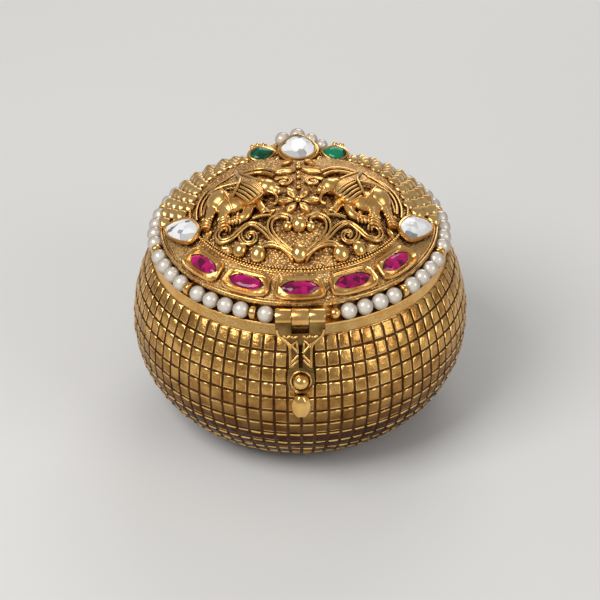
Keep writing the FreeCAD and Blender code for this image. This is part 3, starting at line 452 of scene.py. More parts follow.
# %% The bowl's section: an arc down to the foot and one up to the neck
BELLY_HEIGHT = 22.0
FOOT_ARC = (-BELLY_HEIGHT, 14.5)
NECK_ARC = (NECK - BELLY_HEIGHT, 4.6)
WALL, FLOOR, FLOOR_CORNER = 1.2, 1.6, 0.6
ROWS_BELOW, ROWS_ABOVE, COLUMNS = 8, 5, 80
INSIDE_ROWS_BELOW, INSIDE_ROWS_ABOVE = 14, 10


def arc_radius(rise, run):
    """The radius of an arc that leaves the belly upright and ends a rise and a run away."""
    return (rise ** 2 + run ** 2) / (2 * run)


def arc_points(arc, rows, inside=0.0):
    """Points of one of the wall's two arcs, from the belly to its end."""
    radius = arc_radius(*arc)
    sweep = math.asin(abs(arc[0]) / radius)
    sign = math.copysign(1, arc[0])
    turns = [sweep * row / rows for row in range(rows + 1)]
    return [(BELLY_RADIUS - radius + (radius - inside) * math.cos(turn),
             BELLY_HEIGHT + sign * (radius - inside) * math.sin(turn)) for turn in turns]


def bowl_section():
    """Up the chased outside from the middle of the foot, and down the plain inside to the floor."""
    below, above = arc_points(FOOT_ARC, ROWS_BELOW), arc_points(NECK_ARC, ROWS_ABOVE)
    inner_above = arc_points(NECK_ARC, INSIDE_ROWS_ABOVE, WALL)
    inner_below = [point for point in arc_points(FOOT_ARC, INSIDE_ROWS_BELOW, WALL) if point[1] > FLOOR]
    return ([(0, 0)] + below[::-1] + above[1:] + [(inner_above[-1][0], NECK)] + inner_above[-2::-1]
            + inner_below[1:] + [(inner_below[-1][0] - FLOOR_CORNER, FLOOR), (0, FLOOR)])


# %% Chase the squares
LINE_FLOOR, LINE_WALL, SQUARE_EDGE = 0.17, 0.10, 0.21
SQUARE_RISE, SQUARE_CROWN = 0.30, 0.10
TILT, HAMMERED = 0.11, 0.09
SQUARE_FINISH, LINE_FINISH, EDGE_FINISH = range(3)
CHASING = ((LINE_FLOOR, 0, LINE_FINISH), (LINE_WALL, SQUARE_RISE, LINE_FINISH),
           (SQUARE_EDGE, SQUARE_CROWN, EDGE_FINISH))


def chase_squares(bowl):
    """Leaves a line round each outer face and raises a square in it, tilted and uneven."""
    pick(bowl, lambda face: face.normal.x * face.center.x + face.normal.y * face.center.y > 0
         and 0.2 < face.center.z / MM < NECK - 0.1)
    for width, rise, finish in CHASING:
        bowl.active_material_index = finish
        bpy.ops.object.material_slot_assign()
        bpy.ops.mesh.inset(thickness=width * MM, use_individual=True, use_even_offset=True)
        bpy.ops.transform.shrink_fatten(value=rise * MM)
    bowl.active_material_index = SQUARE_FINISH
    bpy.ops.object.material_slot_assign()
    bpy.ops.object.mode_set(mode="OBJECT")
    for face in bowl.data.polygons:
        if face.select:
            for index in face.vertices:
                vertex = bowl.data.vertices[index]
                tilt = TILT if vertex.co.z > face.center.z else -TILT
                vertex.co += face.normal * ((tilt + random.uniform(-HAMMERED, HAMMERED)) * MM)


# %% Burnish, and a painted highlight, on the squares' upward edges
SIDES_FROM = 27.0
EDGE_LEAN = 0.12
PLAIN_TOP = 0.5


def wall_lean(height):
    """How much the wall's own face looks up at a height, from -1 to 1."""
    return (height - BELLY_HEIGHT) / arc_radius(*(FOOT_ARC if height < BELLY_HEIGHT else NECK_ARC))


def choose_bowl_finishes(bowl):
    """Keeps the bright gold, a burnish with a painted highlight, on each square's upper edge, and high on the
    wall on its sides too.
    """
    for face in bowl.data.polygons:
        height = face.center.z / MM
        # Painted highlight: edges that look up keep the bright gold, edges that look down take the squares'
        # gold.
        lean = wall_lean(height) + (EDGE_LEAN if height < SIDES_FROM else -EDGE_LEAN)
        plain_top = face.material_index == LINE_FINISH and height > NECK - PLAIN_TOP
        if plain_top or face.material_index == EDGE_FINISH and face.normal.z < lean:
            face.material_index = SQUARE_FINISH


def make_bowl():
    """The wall with its squares outside, plain inside, and a slight ripple over it all."""
    bowl = add_finishes(spin_section("bowl", bowl_section(), COLUMNS), TILE_GOLD, GROOVE_GOLD, BRIGHT_GOLD)
    chase_squares(bowl)
    choose_bowl_finishes(bowl)
    ripple(bowl, "hammered", 2.6, 0.34)
    for vertex in bowl.data.vertices:
        vertex.co.z = max(vertex.co.z, 0)
    give(bowl, ["bowl_shell"], body="bowl")


make_bowl()

# %% [markdown]
# ## Collar, channel and lid sheet
# The collar on the bowl and the channel under the lid are plain turned rings. A cylinder with a hole would
# do for each, but a spun section also gives the lip and the ledge, and a small bevel catches the light as a
# burnished edge does.

# %% Turned rings
ROUND_STEPS = 144
RIM_OUTER = STRING_RADIUS - PEARL_RADIUS - 0.05
RIM_INNER = RIM_OUTER - 0.9
LIP_OUTER = RIM_INNER - 0.25
LIP_INNER = LIP_OUTER - 0.8
COLLAR_TOP = LEDGE_LOW - 0.1
LEDGE_TOP = LEDGE_LOW + 0.55
LEDGE_OUTER = STRING_RADIUS + 0.6
COLLAR_SECTION = [
    (LIP_INNER, NECK), (STRING_RADIUS + 0.9, NECK), (STRING_RADIUS + 0.2, COLLAR_TOP),
    (LIP_OUTER, COLLAR_TOP), (LIP_OUTER, LIP_TOP), (LIP_INNER, LIP_TOP)]
CHANNEL_SECTION = [
    (RIM_INNER, LEDGE_LOW), (LEDGE_OUTER, LEDGE_LOW), (LEDGE_OUTER, LEDGE_TOP), (RIM_OUTER, LEDGE_TOP),
    (RIM_OUTER, RIM_TOP), (RIM_INNER, RIM_TOP)]

for name, section, edge, node, body in (("collar", COLLAR_SECTION, 0.12, "mouth_collar", "bowl"),
                                        ("pearl_channel", CHANNEL_SECTION, 0.1, "lid_rim", "lid")):
    give(bevel(spin_section(name, section, ROUND_STEPS), edge), [node], ANTIQUE_GOLD, body)

# %% [markdown]
# The lid is one turned sheet. Its field is matted all over with small round punches, so that the relief
# stands out against it. The big unevenness is in the mesh and the grains are in the finish. The band round
# the field has a finer grain, and the underside is plain.

# %% The lid's sheet
DOME_STEPS = 30
SHEET = 0.9


def lid_section():
    """Out over the dome and down the band, and back under both."""
    dome = [(FIELD_RADIUS * step / DOME_STEPS, lid_height(0, FIELD_RADIUS * step / DOME_STEPS))
            for step in range(DOME_STEPS)]
    under = [(radius, height - SHEET) for radius, height in dome[::3]]
    edge = [(FIELD_RADIUS, FIELD_TOP), (BAND_RADIUS - 0.2, BAND_TOP + 0.1), (BAND_RADIUS, BAND_TOP - 0.15),
            (BAND_RADIUS, RIM_TOP), (RIM_INNER, RIM_TOP), (FIELD_RADIUS, FIELD_TOP - SHEET)]
    return dome + edge + under[::-1]


def make_lid_sheet():
    """The domed sheet: a matted field, a grained band and a plain underside."""
    lid = spin_section("lid_sheet", lid_section(), ROUND_STEPS)
    pick(lid, lambda face: face.center.xy.length < (FIELD_RADIUS - 1) * MM and face.normal.z > 0.5)
    bpy.ops.mesh.subdivide(number_cuts=1)
    bpy.ops.object.mode_set(mode="OBJECT")
    field = lid.vertex_groups.new(name="field")
    field.add([vertex.index for vertex in lid.data.vertices if vertex.select], 1.0, "REPLACE")
    ripple(lid, "punched", 0.8, 0.45, vertex_group="field")
    add_finishes(lid, ANTIQUE_GOLD, GROUND_GOLD, GRAINED_GOLD)
    for face in lid.data.polygons:
        outside = face.normal.z > 0.3 and face.center.z / MM > BAND_TOP - 0.1
        in_field = face.center.xy.length < FIELD_RADIUS * MM
        face.material_index = (1 if in_field else 2) if outside else 0
    give(lid, ["lid_shell"])


make_lid_sheet()

# %% [markdown]
# Two fine wires, one thinner than the other, are soldered along the lid's outer edge. A curve could carry
# them, but a torus is already a wire bent to a ring and needs only two radii, so it serves here and for
# every other ring of wire on the box.


# %% Two fine wires round the lid's outer edge
def hoop(radius, thick, steps, place=Matrix()):
    """A smooth round hoop, about Z before it is placed."""
    clear()
    bpy.ops.mesh.primitive_torus_add(major_radius=radius * MM, minor_radius=thick * MM, major_segments=steps,
                                     minor_segments=8)
    bpy.ops.object.shade_smooth()
    return put(bpy.context.object, place)


edge_wires = []
for inset, thick in ((0.22, 0.24), (0.8, 0.15)):
    wire_radius = BAND_RADIUS - inset
    edge_wires.append(hoop(wire_radius, thick, ROUND_STEPS, at(0, 0, lid_height(0, wire_radius) + 0.05)))
give(join(edge_wires, "edge_wires"), [], ANTIQUE_GOLD)

# %% [markdown]
# ## The string of pearls
# Real pearls are strung, not set. Each is a ball with a slight dimple where the wire enters, and no two
# are quite the same size. They sit in fours with a turned gold spacer between the fours. One pearl is
# modelled, and each copy gets a size of its own.

# %% Places along the string, and a ball
PEARL_PITCH, GROUP_PITCH = 6.69, 30.0
GROUP_STARTS = ((-1, 23.1), (1, 18.8))
LONE_PEARLS = (-13.2, 168.9)
GOLD_BALL = 13.3
WIRE_START, WIRE_SWEEP = 9.8, 162.5


def string_place(angle):
    """A frame on the string: X runs along it and Y points at the box's axis."""
    return at(*on_circle(angle, STRING_RADIUS, PEARL_HEIGHT)) @ turned(angle, "Z")


def ball(place, radius, segments, rings, tall=1.0):
    """A smooth ball at a place, flattened or drawn up by a share."""
    clear()
    bpy.ops.mesh.primitive_uv_sphere_add(segments=segments, ring_count=rings, radius=radius * MM)
    bpy.ops.object.shade_smooth()
    return put(bpy.context.object, at(*place) @ Matrix.Diagonal((1, 1, tall, 1)))


# %% Pearls in their groups
def pearl_pattern():
    """One pearl about the X axis, dimpled at its two holes."""
    pearl = ball((0, 0, 0), PEARL_RADIUS, 24, 14)
    for vertex in pearl.data.vertices:
        if abs(vertex.co.z) > 0.99 * PEARL_RADIUS * MM:
            vertex.co.z *= 0.9
    return put(pearl, turned(90, "Y"))


def make_pearls():
    """Ten groups of four pearls, and the two that stand alone."""
    pattern = pearl_pattern()
    for (side, sign), (_, start) in zip(SIDES, GROUP_STARTS):
        for group in range(5):
            angles = [sign * (start + group * GROUP_PITCH + place * PEARL_PITCH) for place in range(4)]
            pearls = [copy_at(pattern, string_place(angle) @ Matrix.Scale(random.uniform(0.965, 1.0), 4))
                      for angle in angles]
            node = "pearls_%s_%d" % (side, group + 1)
            give(join(pearls, node + "_nacre"), [node], NACRE)
    alone = [copy_at(pattern, string_place(angle)) for angle in LONE_PEARLS]
    give(join(alone, "pearls_single_nacre"), ["pearls_single"], NACRE)
    remove(pattern)


make_pearls()

# %% [markdown]
# The spacers are turned beads with well rounded ends. A sphere would be too round, so each starts as a
# short cylinder and a wide bevel rounds it. The wire that carries all of it is a small circle spun about
# the box's axis, on each side from the clasp round to the hinge.


# %% Gold spacers between the fours
def rod(radius, length, steps, place=Matrix(), edge=0.0, cuts=2):
    """A round rod, along Z before it is placed, with softened ends where an edge is given."""
    clear()
    bpy.ops.mesh.primitive_cylinder_add(vertices=steps, radius=radius * MM, depth=length * MM)
    piece = bpy.context.object
    if edge:
        bevel(piece, edge, cuts)
        bpy.ops.object.shade_smooth_by_angle(angle=math.radians(40))
    return put(piece, place)


def make_spacers():
    """Turned spacers between the fours, and a gold ball by the clasp."""
    pattern = rod(1.45, 1.4, 28, turned(90, "Y"), 0.38, 3)
    half_gap = (GROUP_PITCH + 3 * PEARL_PITCH) / 2
    angles = [-(GROUP_STARTS[0][1] + 3 * PEARL_PITCH - half_gap)]
    for sign, start in GROUP_STARTS:
        angles += [sign * (start + group * GROUP_PITCH + half_gap) for group in range(5)]
    spacers = [copy_at(pattern, string_place(angle)) for angle in angles]
    remove(pattern)
    gold_ball = put(ball((0, 0, 0), 1.24, 20, 12), string_place(GOLD_BALL))
    give(join(spacers + [gold_ball], "gold_spacers"), ["pearl_spacers"], BRIGHT_GOLD)


make_spacers()


# %% The wire that carries them
def make_string_wire():
    """A thin wire on each side, from the clasp to the hinge."""
    arcs = []
    for sign in (-1, 1):
        clear()
        bpy.ops.mesh.primitive_circle_add(vertices=8, radius=0.24 * MM)
        arc = put(bpy.context.object, string_place(sign * WIRE_START) @ turned(90, "Y"))
        edit(arc)
        bpy.ops.mesh.select_mode(type="EDGE")
        bpy.ops.mesh.select_all(action="SELECT")
        bpy.ops.mesh.spin(steps=70, angle=sign * math.radians(WIRE_SWEEP), center=(0, 0, 0), axis=(0, 0, 1))
        arcs.append(tidy(arc, 60))
    give(join(arcs, "string_wire"), ["pearl_wire"], BRIGHT_GOLD)


make_string_wire()

# %% [markdown]
# ## Raised forms
# Most of the lid's trimmings are small forms raised from an outline: a collet round a stone, the stone
# itself, a petal or a stud. One helper makes them all. It starts from a flat filled circle, gives it the
# first outline, and for each further outline extrudes the top face and sets it on that outline.


# %% Outlines
def rounded(count, half_x, half_y, power=2.0):
    """Points round an oval, or a rounded oblong for a higher power."""
    points = []
    for step in range(count):
        turn = 2 * math.pi * (step + 0.5) / count
        across, up = math.cos(turn), math.sin(turn)
        points.append((half_x * math.copysign(abs(across) ** (2 / power), across),
                       half_y * math.copysign(abs(up) ** (2 / power), up)))
    return points


def pointed(count, half_x, half_y, power):
    """Points round a marquise, sharp at both ends of X."""
    points = []
    for step in range(count):
        turn = 2 * math.pi * step / count
        across = math.cos(turn)
        points.append((half_x * across, math.copysign(half_y * (1 - abs(across) ** power), math.sin(turn))))
    return points


def pear(count, tip, back, half, tilt):
    """Points round a pear with its tip on +X, turned by a tilt in degrees."""
    points = []
    for step in range(count):
        turn = 2 * math.pi * step / count
        across = math.cos(turn)
        width = half * math.sin(turn) * (1 - 0.45 * max(across, 0) ** 1.5)
        spot = Vector((across * (tip if across > 0 else back), width, 0))
        spot.rotate(turned(tilt, "Z").to_3x3())
        points.append((spot.x, spot.y))
    return points


def smooth_loop(corners, count):
    """Points evenly round a closed smooth line through the corners."""
    points = []
    for step in range(count):
        reach = step * len(corners) / count
        index, share = int(reach), reach % 1
        p0, p1, p2, p3 = (Vector(corners[(index + move) % len(corners)]) for move in (-1, 0, 1, 2))
        spot = 0.5 * (2 * p1 + (p2 - p0) * share + (2 * p0 - 5 * p1 + 4 * p2 - p3) * share ** 2
                      + (3 * p1 - p0 - 3 * p2 + p3) * share ** 3)
        points.append((spot.x, spot.y))
    return points


# %% Rings of an outline, and the form raised through them
def grown(outline, steps):
    """Rings that each stand a distance outside an outline, at a height."""
    rings = []
    for by, height in steps:
        ring = []
        for index, (x, y) in enumerate(outline):
            before, after = Vector(outline[index - 1]), Vector(outline[(index + 1) % len(outline)])
            along = (after - before).normalized()
            ring.append((x + along.y * by, y - along.x * by))
        rings.append((ring, height))
    return rings


def drawn_in(outline, steps):
    """Rings that are each a share of an outline, at a height."""
    return [([(x * share, y * share) for x, y in outline], height) for share, height in steps]


def raised(name, rings, smooth=40):
    """A form raised through rings, each an outline and a height."""
    clear()
    count = len(rings[0][0])
    bpy.ops.mesh.primitive_circle_add(vertices=count, radius=MM, fill_type="NGON")
    piece = bpy.context.object
    piece.name = name
    corners = piece.data.vertices
    before = [corner.co.xy.copy() for corner in corners]
    last = 0
    for step, (outline, height) in enumerate(rings):
        if step:
            pick(piece, lambda face: face.index == last)
            bpy.ops.mesh.extrude_region_move()
            bpy.ops.object.mode_set(mode="OBJECT")
            corners = piece.data.vertices
            last = next(face.index for face in piece.data.polygons if face.select)
        after = [Vector((x * MM, y * MM)) for x, y in outline]
        for index in piece.data.polygons[last].vertices:
            spot = corners[index].co.xy
            order = min(range(count), key=lambda place: (before[place] - spot).length)
            corners[index].co = (*after[order], height * MM)
        before = after
    return tidy(piece, smooth)


# %% [markdown]
# ## The beaded wire and the studs
# The seam between the field and the band is covered with beaded wire: plain wire rolled between grooved
# dies, so that it becomes a row of beads. Towards the front a second, finer row lies inside it. A bead is
# copied along a hoop, so that the row keeps its dark gaps from close up.

# %% Beaded wire
BEAD, BEAD_LIFT = 0.36, 0.32
BEAD_ROWS = ((FIELD_RADIUS, 200, 1.0, 180), (FIELD_RADIUS - 0.78, 74, 0.8, 62))


def make_beads():
    """One full row of beads on its wire, and a finer row inside the front."""
    pieces = [hoop(FIELD_RADIUS, BEAD, 120, at(0, 0, FIELD_TOP - 0.12))]
    pattern = ball((0, 0, 0), BEAD, 8, 6)
    for radius, count, size, spread in BEAD_ROWS:
        height = FIELD_TOP + BEAD_LIFT + (FIELD_RADIUS - radius) * 0.2
        for step in range(count):
            angle = -spread + (step + 0.5) * 2 * spread / count
            pieces.append(copy_at(pattern, at(*on_circle(angle, radius, height)) @ Matrix.Scale(size, 4)))
    remove(pattern)
    give(join(pieces, "beaded_wire"), ["bead_wire"], BRIGHT_GOLD)


make_beads()

# %% [markdown]
# The studs behind are drops of gold pressed with a four-sided punch, so each has a round foot and a crown
# with four soft edges. They are set in staggered rows like scales, and the outer row is clipped to the
# lid's edge. The innermost row tucks under the beaded wire and is a little smaller.

# %% Studs like scales
STUD_ROWS = (25.15, 27.05, 28.95, 30.85)
STUD_START, STUD_END, STUD_COUNT = 88.3, 151.1, 8
STUD_HALF = (1.98, 2.1)
STUD_CLIP = -1.05
STUD_FOOT = ((1, -0.35), (1, 0.22), (0.95, 0.52), (0.84, 0.78))
STUD_CROWN = ((0.72, 1.10), (0.40, 1.42), (0.07, 1.66))


def make_studs():
    """Staggered rows of four-sided drops on each side of the back."""
    pattern = raised("stud", drawn_in(rounded(16, *STUD_HALF, 1.75), STUD_FOOT)
                     + drawn_in(rounded(16, *STUD_HALF, 1.0), STUD_CROWN), 24)
    clipped = copy_at(pattern, Matrix())
    for vertex in clipped.data.vertices:
        vertex.co.y = max(vertex.co.y, STUD_CLIP * MM)
    pitch = (STUD_END - STUD_START) / STUD_COUNT
    for side, sign in SIDES:
        studs = []
        for row, radius in enumerate(STUD_ROWS):
            form = clipped if radius == STUD_ROWS[-1] else pattern
            for place in range(STUD_COUNT):
                angle = STUD_START + (place + (0.25 if row % 2 else 0.75)) * pitch
                size = random.uniform(0.92, 0.97) * (0.9 if row == 0 else 1)
                studs.append(copy_at(form, band_place(sign * angle, radius) @ Matrix.Scale(size, 4)))
        give(join(studs, "studs_" + side), ["band_studs_" + side], STUD_GOLD)
    remove(pattern, clipped)


make_studs()

# %% [markdown]
# ## Rubies in their cells
# Each ruby lies in a shallow tray: a thick rounded rim in front, low towards the beads, and a floor that
# climbs to the stone. The tray is modelled flat, where its outline is easy to write, and then wrapped round
# the band. The stone is a marquise with a flat table, and stays straight as a cut stone does.

# %% Ruby cells
RUBY_ANGLES = (-48.6, -24.3, 0.0, 24.3, 48.6)
RUBY_RADIUS = 28.3
TRAY_INNER, TRAY_OUTER, TRAY_DEEP, TRAY_POWER = 5.2, 5.75, 3.15, 3.8
TRAY_RIM = ((0, -0.4), (0, 0.5), (-0.12, 0.92), (-0.38, 1.14), (-0.64, 0.95), (-0.82, 0.45), (-1.0, 0.34))
TRAY_FLOOR = ((1.16, 0.46), (1.07, 0.62), (1.02, 0.60), (0.98, 0.2))
GEM_CUT = ((1, 0.25), (1, 0.46), (0.80, 0.76), (0.52, 0.92))


def tray_outline(count):
    """Points round a rounded cell, narrower towards the field than at the lid's edge."""
    points = []
    for step in range(count):
        turn = 2 * math.pi * step / count
        ways = (math.cos(turn), math.sin(turn))
        across, up = (math.copysign(abs(way) ** (2 / TRAY_POWER), way) for way in ways)
        half = TRAY_OUTER + (TRAY_INNER - TRAY_OUTER) * (up + 1) / 2
        points.append((across * half, up * TRAY_DEEP))
    return points


def make_tray():
    """One tray, its rim lowered on the side of the beads."""
    floor = drawn_in(pointed(48, 4.25, 1.70, 3.1), TRAY_FLOOR)
    tray = raised("tray", grown(tray_outline(48), TRAY_RIM) + floor)
    for vertex in tray.data.vertices:
        y, z = vertex.co.y / MM, vertex.co.z / MM
        if z > 0.35 and abs(y) > 1.7:
            vertex.co.z -= 0.52 * MM * min(max((y - 0.9) / 2.0, 0), 1)
    return tray


def bend_round(piece, angle, radius):
    """Wraps a piece modelled flat round the band, about an angle from the front."""
    for vertex in piece.data.vertices:
        x, y, z = vertex.co
        vertex.co = band_place(angle + math.degrees(x / (radius * MM)), radius) @ Vector((0, y, z))


def make_rubies():
    """Five trays and their stones along the front of the band."""
    tray = make_tray()
    gem = raised("gem", drawn_in(pointed(14, 4.2, 1.67, 3.1), GEM_CUT), None)
    for number, angle in enumerate(RUBY_ANGLES, 1):
        cell = copy_at(tray, Matrix(), "ruby_tray_%d" % number)
        bend_round(cell, angle, RUBY_RADIUS)
        give(cell, ["ruby_bezel_%d" % number], ANTIQUE_GOLD)
        stone = copy_at(gem, band_place(angle, RUBY_RADIUS), "ruby_gem_%d" % number)
        give(stone, ["ruby_%d" % number], RUBY)
    remove(tray, gem)


make_rubies()

# %% [markdown]
# ## The white stones at the sides
# These are uncut slices, flat below and cut above with a few broad facets that don't match. Each stands in
# a tall collet with a step round its foot and a thin burnished edge pressed over the stone. The collet
# follows the outline with many points and the slice with few, so that its facets stay large.

# %% Side stones
SIDE_ANGLE, SIDE_RADIUS = 75.4, 27.3
SIDE_CORNERS = ((-4.5, -2.9), (-4.4, 0.1), (-2.8, 2.8), (0.2, 4.2), (3.3, 4.4), (5.2, 2.9), (5.7, 0.7),
                (3.0, -1.5), (-0.8, -3.2))
SIDE_COLLET = ((1.0, -1.2), (1.0, 0.35), (0.78, 0.55), (0.62, 0.5), (0.58, 1.1), (0.34, 1.4), (0, 1.24),
               (-0.1, 0.6))


def make_side_stones():
    """A faceted slice in a stepped collet on each side."""
    collet = raised("collet", grown(smooth_loop(SIDE_CORNERS, 40), SIDE_COLLET))
    girdle = smooth_loop(SIDE_CORNERS, 11)
    table = [(x * 0.44 + random.uniform(-0.7, 0.7), y * 0.42 + random.uniform(-0.5, 0.5)) for x, y in girdle]
    stone = raised("slice", [(girdle, 0.5), (girdle, 1.0), (table, 1.85)], None)
    for side, sign in SIDES:
        place = band_place(sign * SIDE_ANGLE, SIDE_RADIUS) @ (MIRROR if sign > 0 else Matrix())
        setting = copy_at(collet, place, "side_collet_" + side)
        give(setting, ["side_bezel_" + side], ANTIQUE_GOLD)
        slice_of_stone = copy_at(stone, place, "side_slice_" + side)
        give(slice_of_stone, ["side_stone_" + side], WHITE_STONE)
    remove(collet, stone)


make_side_stones()

# %% [markdown]
# ## The crest
# At the back of the dome a drop of white stone stands between two domed emeralds, with pearls behind it.
# The maker tips the stones to the front, where they are seen, so each is modelled upright and then leaned,
# and the foot of its collet is set into the sheet again.

# %% Places of the crest
CREST_Y = 22.6
CREST_FLOOR = bottom("crest_stone")
EMERALD_X, EMERALD_Y, EMERALD_SINK = 8.75, 23.4, 0.25
CREST_LEAN, EMERALD_LEAN = 6.0, 14.0
SEAT_DEPTH = 0.45


def lean(degrees, x, y, z):
    """A tip about a point, the back up and the front down."""
    return at(x, y, z) @ turned(degrees, "X") @ at(-x, -y, -z)


def seat(piece, below):
    """Sets the part of a piece under a height into the lid's sheet, wherever it stands."""
    for vertex in piece.data.vertices:
        floor = (lid_height(vertex.co.x / MM, vertex.co.y / MM) - SEAT_DEPTH) * MM
        if vertex.co.z < max(below * MM, floor):
            vertex.co.z = floor
    return piece


def crest_collet(name, outline, rim, height, foot):
    """A collet with a stepped foot and a rounded rim."""
    return raised(name, grown(outline, [
        (rim, foot), (rim, height - 0.55), (rim * 0.72, height - 0.4), (rim * 0.6, height - 0.4),
        (rim * 0.5, height), (rim * 0.15, height + 0.12), (-0.08, height), (-0.1, height - 0.6)]))


# %% The white drop
def make_drop():
    """The drop in the middle of the crest, in its collet."""
    height = top("crest_bezel")
    place = lean(CREST_LEAN, 0, CREST_Y, height) @ at(0, CREST_Y)
    collet = crest_collet("crest_collet", pear(32, 4.8, 4.2, 4.0, 90), 0.9, height, CREST_FLOOR - 2.2)
    give(seat(put(collet, place), CREST_FLOOR - 1), ["crest_bezel"], ANTIQUE_GOLD)
    girdle = pear(12, 4.75, 4.15, 3.95, 90)
    table = [(x * 0.45 + random.uniform(-0.4, 0.4), y * 0.5 + random.uniform(-0.4, 0.4)) for x, y in girdle]
    rings = [(girdle, height - 0.5), (girdle, height - 0.1), (table, height + 0.75)]
    give(put(raised("crest_slice", rings, None), place), ["crest_stone"], WHITE_STONE)


make_drop()

# %% [markdown]
# The emeralds are cabochons: domed, without facets. A squashed sphere would lose their pear outline, so
# the dome is raised through smaller and smaller copies of it, and smooth shading rounds what is left.

# %% The emeralds beside it
EMERALD_DOME = ((1, -0.6), (1, -0.2), (0.9, 0.1), (0.68, 0.32), (0.4, 0.48), (0.15, 0.54))


def make_emeralds():
    """A domed emerald in its collet on each side of the drop."""
    for side, sign in SIDES:
        height = top("emerald_bezel_" + side)
        collet = crest_collet("emerald_collet_" + side, pear(28, 3.05, 2.65, 2.2, 12), 0.75, height - 0.15,
                              height - 2.6)
        rings = [(share, height + rise) for share, rise in EMERALD_DOME]
        stone = raised("emerald_gem_" + side, drawn_in(pear(28, 2.95, 2.55, 2.1, 12), rings), 50)
        place = at(sign * EMERALD_X, EMERALD_Y, -EMERALD_SINK) @ lean(EMERALD_LEAN, 0, 0, height)
        for piece in (collet, stone):
            put(piece, place @ MIRROR if sign > 0 else place)
        give(seat(collet, height - 1.75), ["emerald_bezel_" + side], ANTIQUE_GOLD)
        give(stone, ["emerald_" + side], EMERALD)


make_emeralds()

# %% [markdown]
# Behind the drop stands a fan of pearls, larger on the left, and small gold beads fill the gaps between
# the collets as a goldsmith does with granules. They are plain balls, each placed by an angle.

# %% Pearls and gold beads of the crest
CREST_PEARLS = ((-29, 51.1, 1.85), (-1, 51.5, 1.9), (24, 50.8, 1.6), (47, 50.3, 1.5))
CREST_PEARL_REACH = 7.6
EMERALD_BEADS = ((-1, (-42, -14, 14)), (1, (0, 30)))
EMERALD_BEAD_REACH = 2.95
FRONT_BEADS = ((-4.9, 20.0, 51.3), (4.9, 20.0, 51.3))


def behind(x, y, reach, angle, height):
    """The point at an angle from straight behind a place."""
    turn = math.radians(angle)
    return x + reach * math.sin(turn), y + reach * math.cos(turn), height


def make_crest_beads():
    """Graded pearls behind the drop, and gold beads between the collets."""
    pearls = [ball(behind(0, CREST_Y, CREST_PEARL_REACH, angle, height), radius, 24, 14)
              for angle, height, radius in CREST_PEARLS]
    give(join(pearls, "crest_pearls_nacre"), ["crest_pearls"], NACRE)
    height = top("emerald_bezel_left") - 0.1
    beads = [ball(behind(sign * EMERALD_X, EMERALD_Y, EMERALD_BEAD_REACH, angle, height), 0.72, 16, 10)
             for sign, angles in EMERALD_BEADS for angle in angles]
    beads += [ball(place, 0.7, 16, 10) for place in FRONT_BEADS]
    give(join(beads, "crest_gold_beads"), ["crest_beads"], BRIGHT_GOLD)


make_crest_beads()

# %% [markdown]
# ## Scrolls
# The scrolls are drawn wire, bent to shape and soldered down in pairs, so each line has a groove along its
# middle. A curve with a round section is the natural tool for wire. The points below are the path of the
# left half over the plan; the right half is its mirror image.


# %% Wire along a path
def wire(points, radius, fineness=2):
    """A round wire through points, as a mesh with closed ends; a fourth number thins or swells it."""
    clear()
    bpy.ops.curve.primitive_nurbs_path_add()
    line = bpy.context.object.data
    line.splines.clear()
    line.bevel_depth = radius * MM
    line.bevel_resolution = fineness
    line.use_fill_caps = True
    line.resolution_u = 5
    spline = line.splines.new("NURBS")
    spline.points.add(len(points) - 1)
    for knot, (x, y, z, *share) in zip(spline.points, points):
        knot.co = (x * MM, y * MM, z * MM, 1)
        knot.radius = share[0] if share else 1
    spline.use_endpoint_u = True
    spline.order_u = 3
    bpy.ops.object.convert(target="MESH")
    return tidy(bpy.context.object, 60)


def ridge(points, height, radius):
    """One wire along a plan path, its lower half drawn down into the ground."""
    piece = wire([(x, y, height) for x, y in points], radius)
    for vertex in piece.data.vertices:
        if vertex.co.z < (height - radius * 0.3) * MM:
            vertex.co.z = -0.3 * MM
    return piece


def doubled(points, apart, height, radius):
    """Two wires side by side along a path."""
    pair = []
    for side in (-0.5, 0.5):
        line = []
        for index, (x, y) in enumerate(points):
            before, after = points[max(index - 1, 0)], points[min(index + 1, len(points) - 1)]
            along = Vector((after[0] - before[0], after[1] - before[1])).normalized()
            line.append((x - along.y * apart * side, y + along.x * apart * side))
        pair.append(ridge(line, height, radius))
    return pair


# %% The heart and the waves beside it
HEART = [(-0.5, -21.6), (-1.9, -20.4), (-3.2, -18.9), (-5.2, -16.8), (-6.5, -14.4), (-6.6, -12.1),
         (-5.9, -10.3), (-4.3, -9.5), (-2.8, -9.9), (-1.9, -11.1), (-2.2, -12.2)]
WAVE = [(-4.6, -17.9), (-6.3, -16.2), (-8.2, -13.2), (-10.2, -11.1), (-11.6, -11.1), (-13.4, -12.6),
        (-15.1, -14.5), (-17.2, -14.8), (-18.5, -13.2), (-18.1, -11.1), (-16.7, -10.3), (-15.6, -11.2),
        (-15.9, -12.4)]
CURL = [(-9.6, -11.3), (-11.4, -11.0), (-12.9, -12.2), (-13.3, -14.3), (-12.4, -16.3), (-10.6, -16.9),
        (-9.5, -15.6), (-10.0, -13.9), (-11.3, -13.6), (-11.7, -14.8), (-10.9, -15.3)]
ARM = [(-1.2, -22.2), (-2.2, -20.3), (-3.9, -18.5), (-6.2, -17.5), (-8.4, -17.8), (-9.7, -19.2)]


def with_mirrored(pieces):
    """The pieces of the left half and their twins on the right."""
    return pieces + [copy_at(piece, MIRROR) for piece in pieces]


